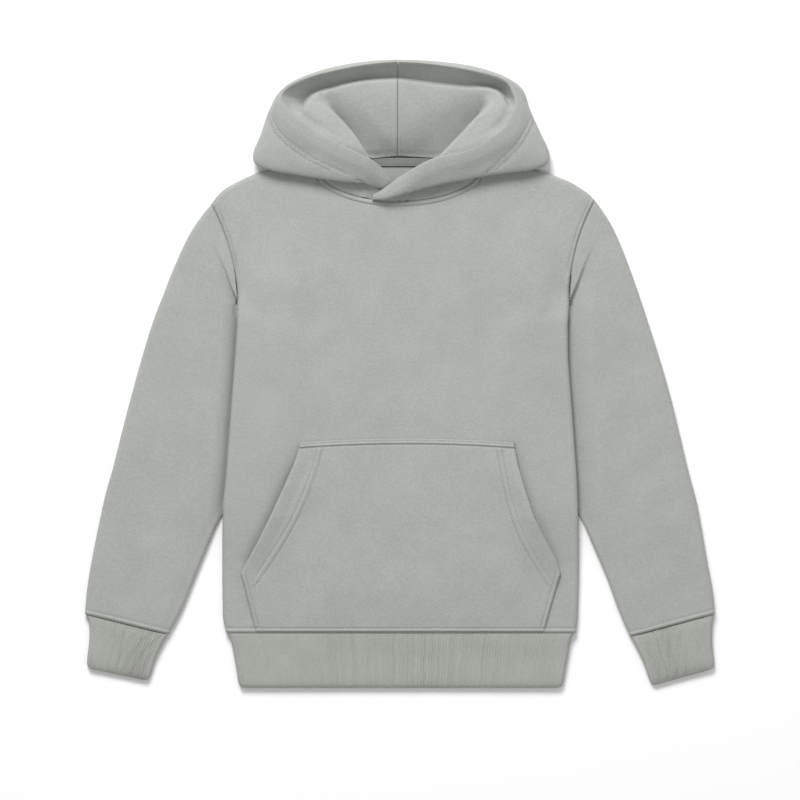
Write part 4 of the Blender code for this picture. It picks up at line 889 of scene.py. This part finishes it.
hoodLooks, brims = {}, {}
for side, gap in (("left", -0.15), ("right", 0.15)):
    rows = np.array(hood[side])
    controls = np.array([hoodControls(row, k >= hood["foldsFrom"][side]) for k, row in enumerate(rows)])
    controls[-1, :, 0] = hood["seam"] + gap
    stations = steps((0.0, len(rows) - 1.0, 0.1))
    mirrored = controls[-2:-1].copy()
    mirrored[..., 0] = 2.0 * hood["seam"] - mirrored[..., 0]
    controls = np.concatenate((controls, mirrored))  # carries the curve level across the centre seam
    brims[side] = controls[:, 6]
    around = steps((0.0, 2.0, 0.2), (2.0, 4.0, 0.12), (4.0, 5.8, 0.05), (5.8, 6.0, 0.025))
    lines = [splineLine(controls[:, k], stations) for k in range(7)]
    middle = np.array([splineLine([line[i] for line in lines], around) for i in range(len(stations))])
    middle[..., 2] = np.maximum(middle[..., 2], 1.05)
    normals = gridNormals(middle)
    if normals[-1, -3, 1] < 0.0:
        normals = -normals
    normals[-1, :, 0] = 0.0
    normals[-1] /= np.linalg.norm(normals[-1], axis=1, keepdims=True)
    upper = ramp(3.6, 4.3, around)[None, :]
    stitched = hood[side + "Stitch"]
    between = farFrom(middle, (np.array(stitched[0][:6]) + np.array(stitched[1][:6])) / 2.0)
    fromBrim = np.linalg.norm(middle - middle[:, -1:], axis=2)
    relief = 0.5 * bell(between, 0.0, 1.2) - 0.9 * bell(between, 0.0, 5.0) + 1.3 * bell(fromBrim, 10.0, 7.0)
    relief -= 0.7 * sum(bell(farFrom(middle, line), 0.0, 0.75) for line in stitched)
    pressed = 1.2 * sum(bell(farFrom(middle, line), 0.0, 1.1) for line in hood[side + "Creases"])
    pressed = pressed if side == "left" else pressed * (1.0 - upper)
    half = hood["half"] + (hood["brimHalf"] - hood["half"]) * ramp(9.0, 3.0, fromBrim) * upper
    half = half * np.maximum(edgeRoll(fromBrim + 0.02, hood["brimHalf"]), 0.12)
    face = middle + normals * (half + relief * upper - pressed)[..., None]
    back = middle - normals * np.minimum(half, 1.2)[..., None]
    face[..., 2] = np.maximum(face[..., 2], 0.05)
    piece = clothPiece("hood_" + side + "_outer", face, back, fleece, ["hood_" + side])
    hoodLooks[side] = topOf(face)
    print("hoodie: hood", side, face.shape)


lining = {
    "wall": 1.8, "foot": 2.9, "rows": 190, "seamDepth": 0.5, "seamPads": 0.35, "low": 478.8,
    # up the centre seam: y, height, height of the hollow beside each front fold
    "bowl": (
        (474, 3.9, 3.9), (478.8, 4.6, 4.2), (486, 9.6, 4.6), (495, 14.6, 5.6), (505, 18.2, 7.6),
        (514, 20.6, 10.6), (521, 22, 14.5), (528, 23.1, 19), (536, 24.1, 23.2), (547, 24.6, 24.4),
        (565, 24.6, 24.6)),
    # where each folded front rolls into the bowl, neck up: x, y, roll's width and drop, lower drop's width
    "leftRidge": (
        (-21, 470, 2.4, 1.8, 1.6), (-28.6, 478.9, 2.6, 1.9, 1.8), (-38.9, 495, 3, 2.2, 2.2),
        (-47.8, 506, 2.8, 2.4, 2.2), (-55.8, 514.5, 3.2, 2.6, 2.6), (-63, 521.6, 4.4, 2.8, 4),
        (-69.5, 527.6, 6.5, 3, 7), (-71.5, 536, 9, 3, 12), (-71, 570, 9, 3, 12)),
    "rightRidge": (
        (26, 465.5, 2.4, 1.8, 1.6), (34, 476.6, 2.6, 1.9, 1.8), (44.7, 488.4, 3, 2.2, 2.2),
        (54.6, 498.5, 3, 2.4, 2.2), (63.6, 508.6, 3.2, 2.4, 2.4), (72, 516.8, 4, 2.6, 3),
        (79.5, 524.8, 5.4, 2.8, 5), (84.5, 533, 8, 3, 10), (85, 570, 9, 3, 12)),
    # how far from each fold the hollow keeps rising
    "leftSpan": 25.0, "rightSpan": 44.0,
    # how far the hollow reaches in under each fold, and which way
    "reach": 4.2, "leftUnder": (-0.8, -0.6), "rightUnder": (0.76, -0.65),
    # the crest, from where it leaves the brim to the centre seam
    "leftCrest": (
        (-97, 505), (-92.7, 513), (-88.2, 519.3), (-84.6, 525.6), (-79.5, 531.6), (-71.6, 535.8),
        (-61.2, 538.4), (-47.7, 542.2), (-29.7, 545.4), (-2, 546.9), (8, 546.6)),
    "rightCrest": (
        (106, 511), (100.8, 518.4), (96.3, 524.7), (92.7, 531.2), (88.6, 535.4), (82, 538.3), (73, 539.6),
        (59.4, 539.7), (41.4, 541.4), (23.4, 543.6), (9, 545.6), (-2, 546.9), (-12, 547)),
    "crestRoll": 3.2, "crestDrop": 1.8, "crestWall": 2.4, "behind": 7.5,
    # along the brim: station, distance in from its edge, height against it
    "leftEdge": ((4.0, -0.8, 1.0), (8.0, -0.8, 1.0), (9.5, -0.4, 0.9), (15.0, -0.3, 0.9)),
    "rightEdge": ((4.75, -0.8, 1.0), (10.4, -0.8, 1.0), (11.5, -0.4, 0.9), (16.0, -0.3, 0.9)),
}


def brimPoint(side, station, inward, rise):
    # a point beside the brim's edge
    brim, ahead = brims[side], 0.05
    here = splinePoint(brim, station)
    run = splinePoint(brim, min(station + ahead, len(brim) - 1.0)) - splinePoint(brim, station - ahead)
    run[:2] /= np.linalg.norm(run[:2])
    across = np.array((-run[1], run[0]))
    across *= 1.0 if across @ (np.array((hood["seam"], 520.0)) - here[:2]) > 0.0 else -1.0
    return np.array((*(here[:2] + across * inward), here[2] + rise))


def evenLine(points, step):
    return splineLine(points, steps((0.0, len(points) - 1.0, step)))


def liningGrid(side, seamX):
    # rows run from the centre seam out to the brim, evenly spaced along the brim
    turn = 1.0 if side == "left" else -1.0
    edge = np.array(lining[side + "Edge"])
    fine = np.linspace(edge[0, 0], edge[-1, 0], 500)
    run = lengthAlong(np.array([splinePoint(brims[side], station)[:2] for station in fine]))
    shares = np.linspace(0.0, 1.0, lining["rows"])
    ends = []
    for station in np.interp(shares * run[-1], run, fine):
        inward, rise = (np.interp(station, edge[:, 0], edge[:, k]) for k in (1, 2))
        ends.append(brimPoint(side, station, inward, rise))
    ends = np.array(ends)
    ends[-1, 0] = seamX
    startYs = lining["low"] + (ends[-1, 1] - lining["low"]) * shares ** 0.8
    starts = np.stack((np.full(len(shares), seamX), startYs), axis=1)
    u = steps((0.0, 0.06, 0.006), (0.06, 0.9, 0.0115), (0.9, 1.0, 0.008))[None, :, None]
    plan = starts[:, None] * (1.0 - u) + ends[:, None, :2] * u
    plan[-1, :, 0] = seamX
    plan[-1, :, 1] = np.linspace(ends[-1, 1] - 0.3, ends[-1, 1], plan.shape[1])
    y = plan[..., 1].copy()
    brimZ = np.broadcast_to(ends[:, None, 2], plan.shape[:2])
    fromBrim = farFrom(plan, ends[::2])

    # the folded front dips behind the brim, rolls over its ridge and drops into the bowl
    ridge = evenLine(lining[side + "Ridge"], 0.25)
    past = turn * signedFrom(plan, ridge)
    roll, drop, wall = (np.interp(y, ridge[:, 1], ridge[:, k]) for k in (2, 3, 4))
    bowl = evenLine(lining["bowl"], 0.1)
    centre, hollow = (np.interp(y, bowl[:, 0], bowl[:, k]) for k in (1, 2))
    low = centre - (centre - hollow) * (1.0 - np.clip(-past / lining[side + "Span"], 0.0, 1.0)) ** 1.9
    flap = brimZ + 0.6 * ramp(0.0, 5.0, fromBrim) - 0.06 * fromBrim
    flap = flap - 2.0 * bell(fromBrim, 4.5, 4.0) * ramp(488.0, 512.0, y)
    flap = flap - drop * (1.0 - edgeRoll(np.maximum(past, 0.0), roll))
    inside = np.where(past > 0.0, flap, low + np.maximum(flap - low, 0.0) * (1.0 - ramp(0.0, wall, -past)))

    # the back of the bowl rolls over its crest and falls behind it, up to the brim
    crest = evenLine(lining[side + "Crest"], 0.2)
    beyond = turn * signedFrom(plan, crest)
    leaves = ramp(1.0, 15.0, np.linalg.norm(plan - np.array(lining[side + "Crest"][1]), axis=2))
    rounded = 1.0 - edgeRoll(np.maximum(-beyond, 0.0), lining["crestRoll"])
    inside = inside - lining["crestDrop"] * leaves * rounded
    over = np.maximum(beyond, 0.0)
    outer = lining["behind"] + (brimZ - lining["behind"]) * (over / np.maximum(over + fromBrim, 0.1)) ** 1.25
    z = inside + (outer - inside) * ramp(0.0, lining["crestWall"], beyond) * leaves
    fromSeam = np.abs(plan[..., 0] - hood["seam"])
    z = z - lining["seamDepth"] * bell(fromSeam, 0.0, 0.9) + lining["seamPads"] * bell(fromSeam, 2.4, 1.4)
    # the hollow runs in below the fold, which overhangs it
    tucked = ramp(0.0, -1.0, past / wall) * ramp(-15.0, 0.0, past + wall) * ramp(532.0, 512.0, y)
    tucked = tucked * ramp(478.0, 487.0, y) * lining["reach"]
    plan = plan + tucked[..., None] * np.array(lining[side + "Under"])
    return np.concatenate((plan, z[..., None]), axis=2)


for side, gap in (("left", -0.15), ("right", 0.15)):
    top = liningGrid(side, hood["seam"] + gap)
    under = top.copy()
    under[..., 2] = np.minimum(np.maximum(top[..., 2] - lining["wall"], lining["foot"]), top[..., 2] - 0.4)
    piece = clothPiece("hood_lining_" + side + "_cloth", top, under, innerFleece,
                       ["hood_lining_" + side])
    print("hoodie: lining", side, top.shape)


tape = {"left": -30.0, "right": 34.0, "low": 469.5, "high": 477.4,
        "thickness": 1.0, "base": 2.55, "stitch": 1.6}
tapeWidth = tape["high"] - tape["low"]
xs = np.linspace(tape["left"], tape["right"], 60)
up = np.linspace(0.0, 1.0, 18)[:, None] * tapeWidth
plan = tape["low"] + up - body["backNeck"] + necklineY(xs, True)
edge = np.minimum(np.minimum(xs - tape["left"], tape["right"] - xs), np.minimum(up, tapeWidth - up))
relief = tape["thickness"] * np.maximum(edgeRoll(edge + 0.03, 0.8), 0.2) - 0.3 * bell(up, tape["stitch"], 0.5)
base = np.stack((np.broadcast_to(xs, plan.shape), plan, np.full(plan.shape, tape["base"])), axis=2)
face = base + relief[..., None] * np.array((0.0, 0.0, 1.0))
piece = clothPiece("neck_tape_strip", face, base, tapeShadeCloth, ["neck_tape"])
print("hoodie: neck tape", face.shape)


hemY = body["hem"] + body["hemStitch"]
neckLine = offsetLine(frontNeckLine, -body["neckStitch"])[8:-8]
bodyLines = [((-153.0, hemY), (-132.5, hemY)), ((132.5, hemY), (154.5, hemY)), neckLine]
for side, turn in (("left", -1.0), ("right", 1.0)):
    line = offsetLine(armholeLines[side], turn * -body["armStitch"])[2:]
    bodyLines.append(line[line[:, 1] > 376.0])
stitchRows("front_stitches", frontLook, bodyLines)
stitchRows("pocket_stitches", pocketLook, pocketLines)
for side, turn in (("left", 1.0), ("right", -1.0)):
    line = offsetLine(np.linspace(*cuffLines[side], 8), turn * sleeves["cuffStitch"])
    stitchRows("cuff_seam_stitches_" + side, sleeveTops[side], [line])
    stitchRows("brim_stitches_" + side, hoodLooks[side], hood[side + "Stitch"])
stitchRows("neck_join_stitches", hoodLooks["right"], hood["rightCreases"])
stitchRows("tape_stitches", topOf(face), [np.stack((xs[1:-1], plan[0][1:-1] + tape["stitch"]), axis=1)])
print("hoodie: stitching")


studio = {"floor": "#ffffff", "reach": 4.0, "under": 0.0006, "world": 0.46, "lens": 300.0,
          "height": 6.008, "aim": (0.0005, -0.0233),
          # name: place, size, power
          "lights": {"key": ((-0.5, 2.15, 2.25), 1.4, 86.0), "fill": ((1.2, -0.6, 2.2), 2.0, 5.0)}}
floorMesh = bpy.data.meshes.new("floor")
floorMesh.from_pydata([(x * studio["reach"], y * studio["reach"], -studio["under"])
                       for x, y in ((-1, -1), (1, -1), (1, 1), (-1, 1))], [], [(0, 1, 2, 3)])
floor = bpy.data.objects.new("floor", floorMesh)
bpy.context.scene.collection.objects.link(floor)
paper = bpy.data.materials.new("matt white paper sweep")
paper.use_nodes = True
paperShader = paper.node_tree.nodes["Principled BSDF"]
paperShader.inputs["Base Color"].default_value = linearColour(studio["floor"])
paperShader.inputs["Roughness"].default_value = 0.95
paperShader.inputs["Specular IOR Level"].default_value = 0.0
floorMesh.materials.append(paper)

world = bpy.data.worlds.new("white studio")
world.use_nodes = True
world.node_tree.nodes["Background"].inputs["Color"].default_value = (1.0, 1.0, 1.0, 1.0)
world.node_tree.nodes["Background"].inputs["Strength"].default_value = studio["world"]
bpy.context.scene.world = world

for name, (place, size, power) in studio["lights"].items():
    data = bpy.data.lights.new(name, "AREA")
    data.shape, data.size, data.energy = "DISK", size, power
    lamp = bpy.data.objects.new(name, data)
    lamp.location = place
    lamp.rotation_euler = Vector(place).to_track_quat("Z", "Y").to_euler()
    bpy.context.scene.collection.objects.link(lamp)

lens = bpy.data.cameras.new("above")
lens.lens, lens.sensor_width, lens.clip_end = studio["lens"], 36.0, 50.0
lens.dof.use_dof = False
above = bpy.data.objects.new("above", lens)
above.location = (*studio["aim"], studio["height"])
bpy.context.scene.collection.objects.link(above)
bpy.context.scene.camera = above
bpy.context.scene.view_settings.view_transform = "Standard"
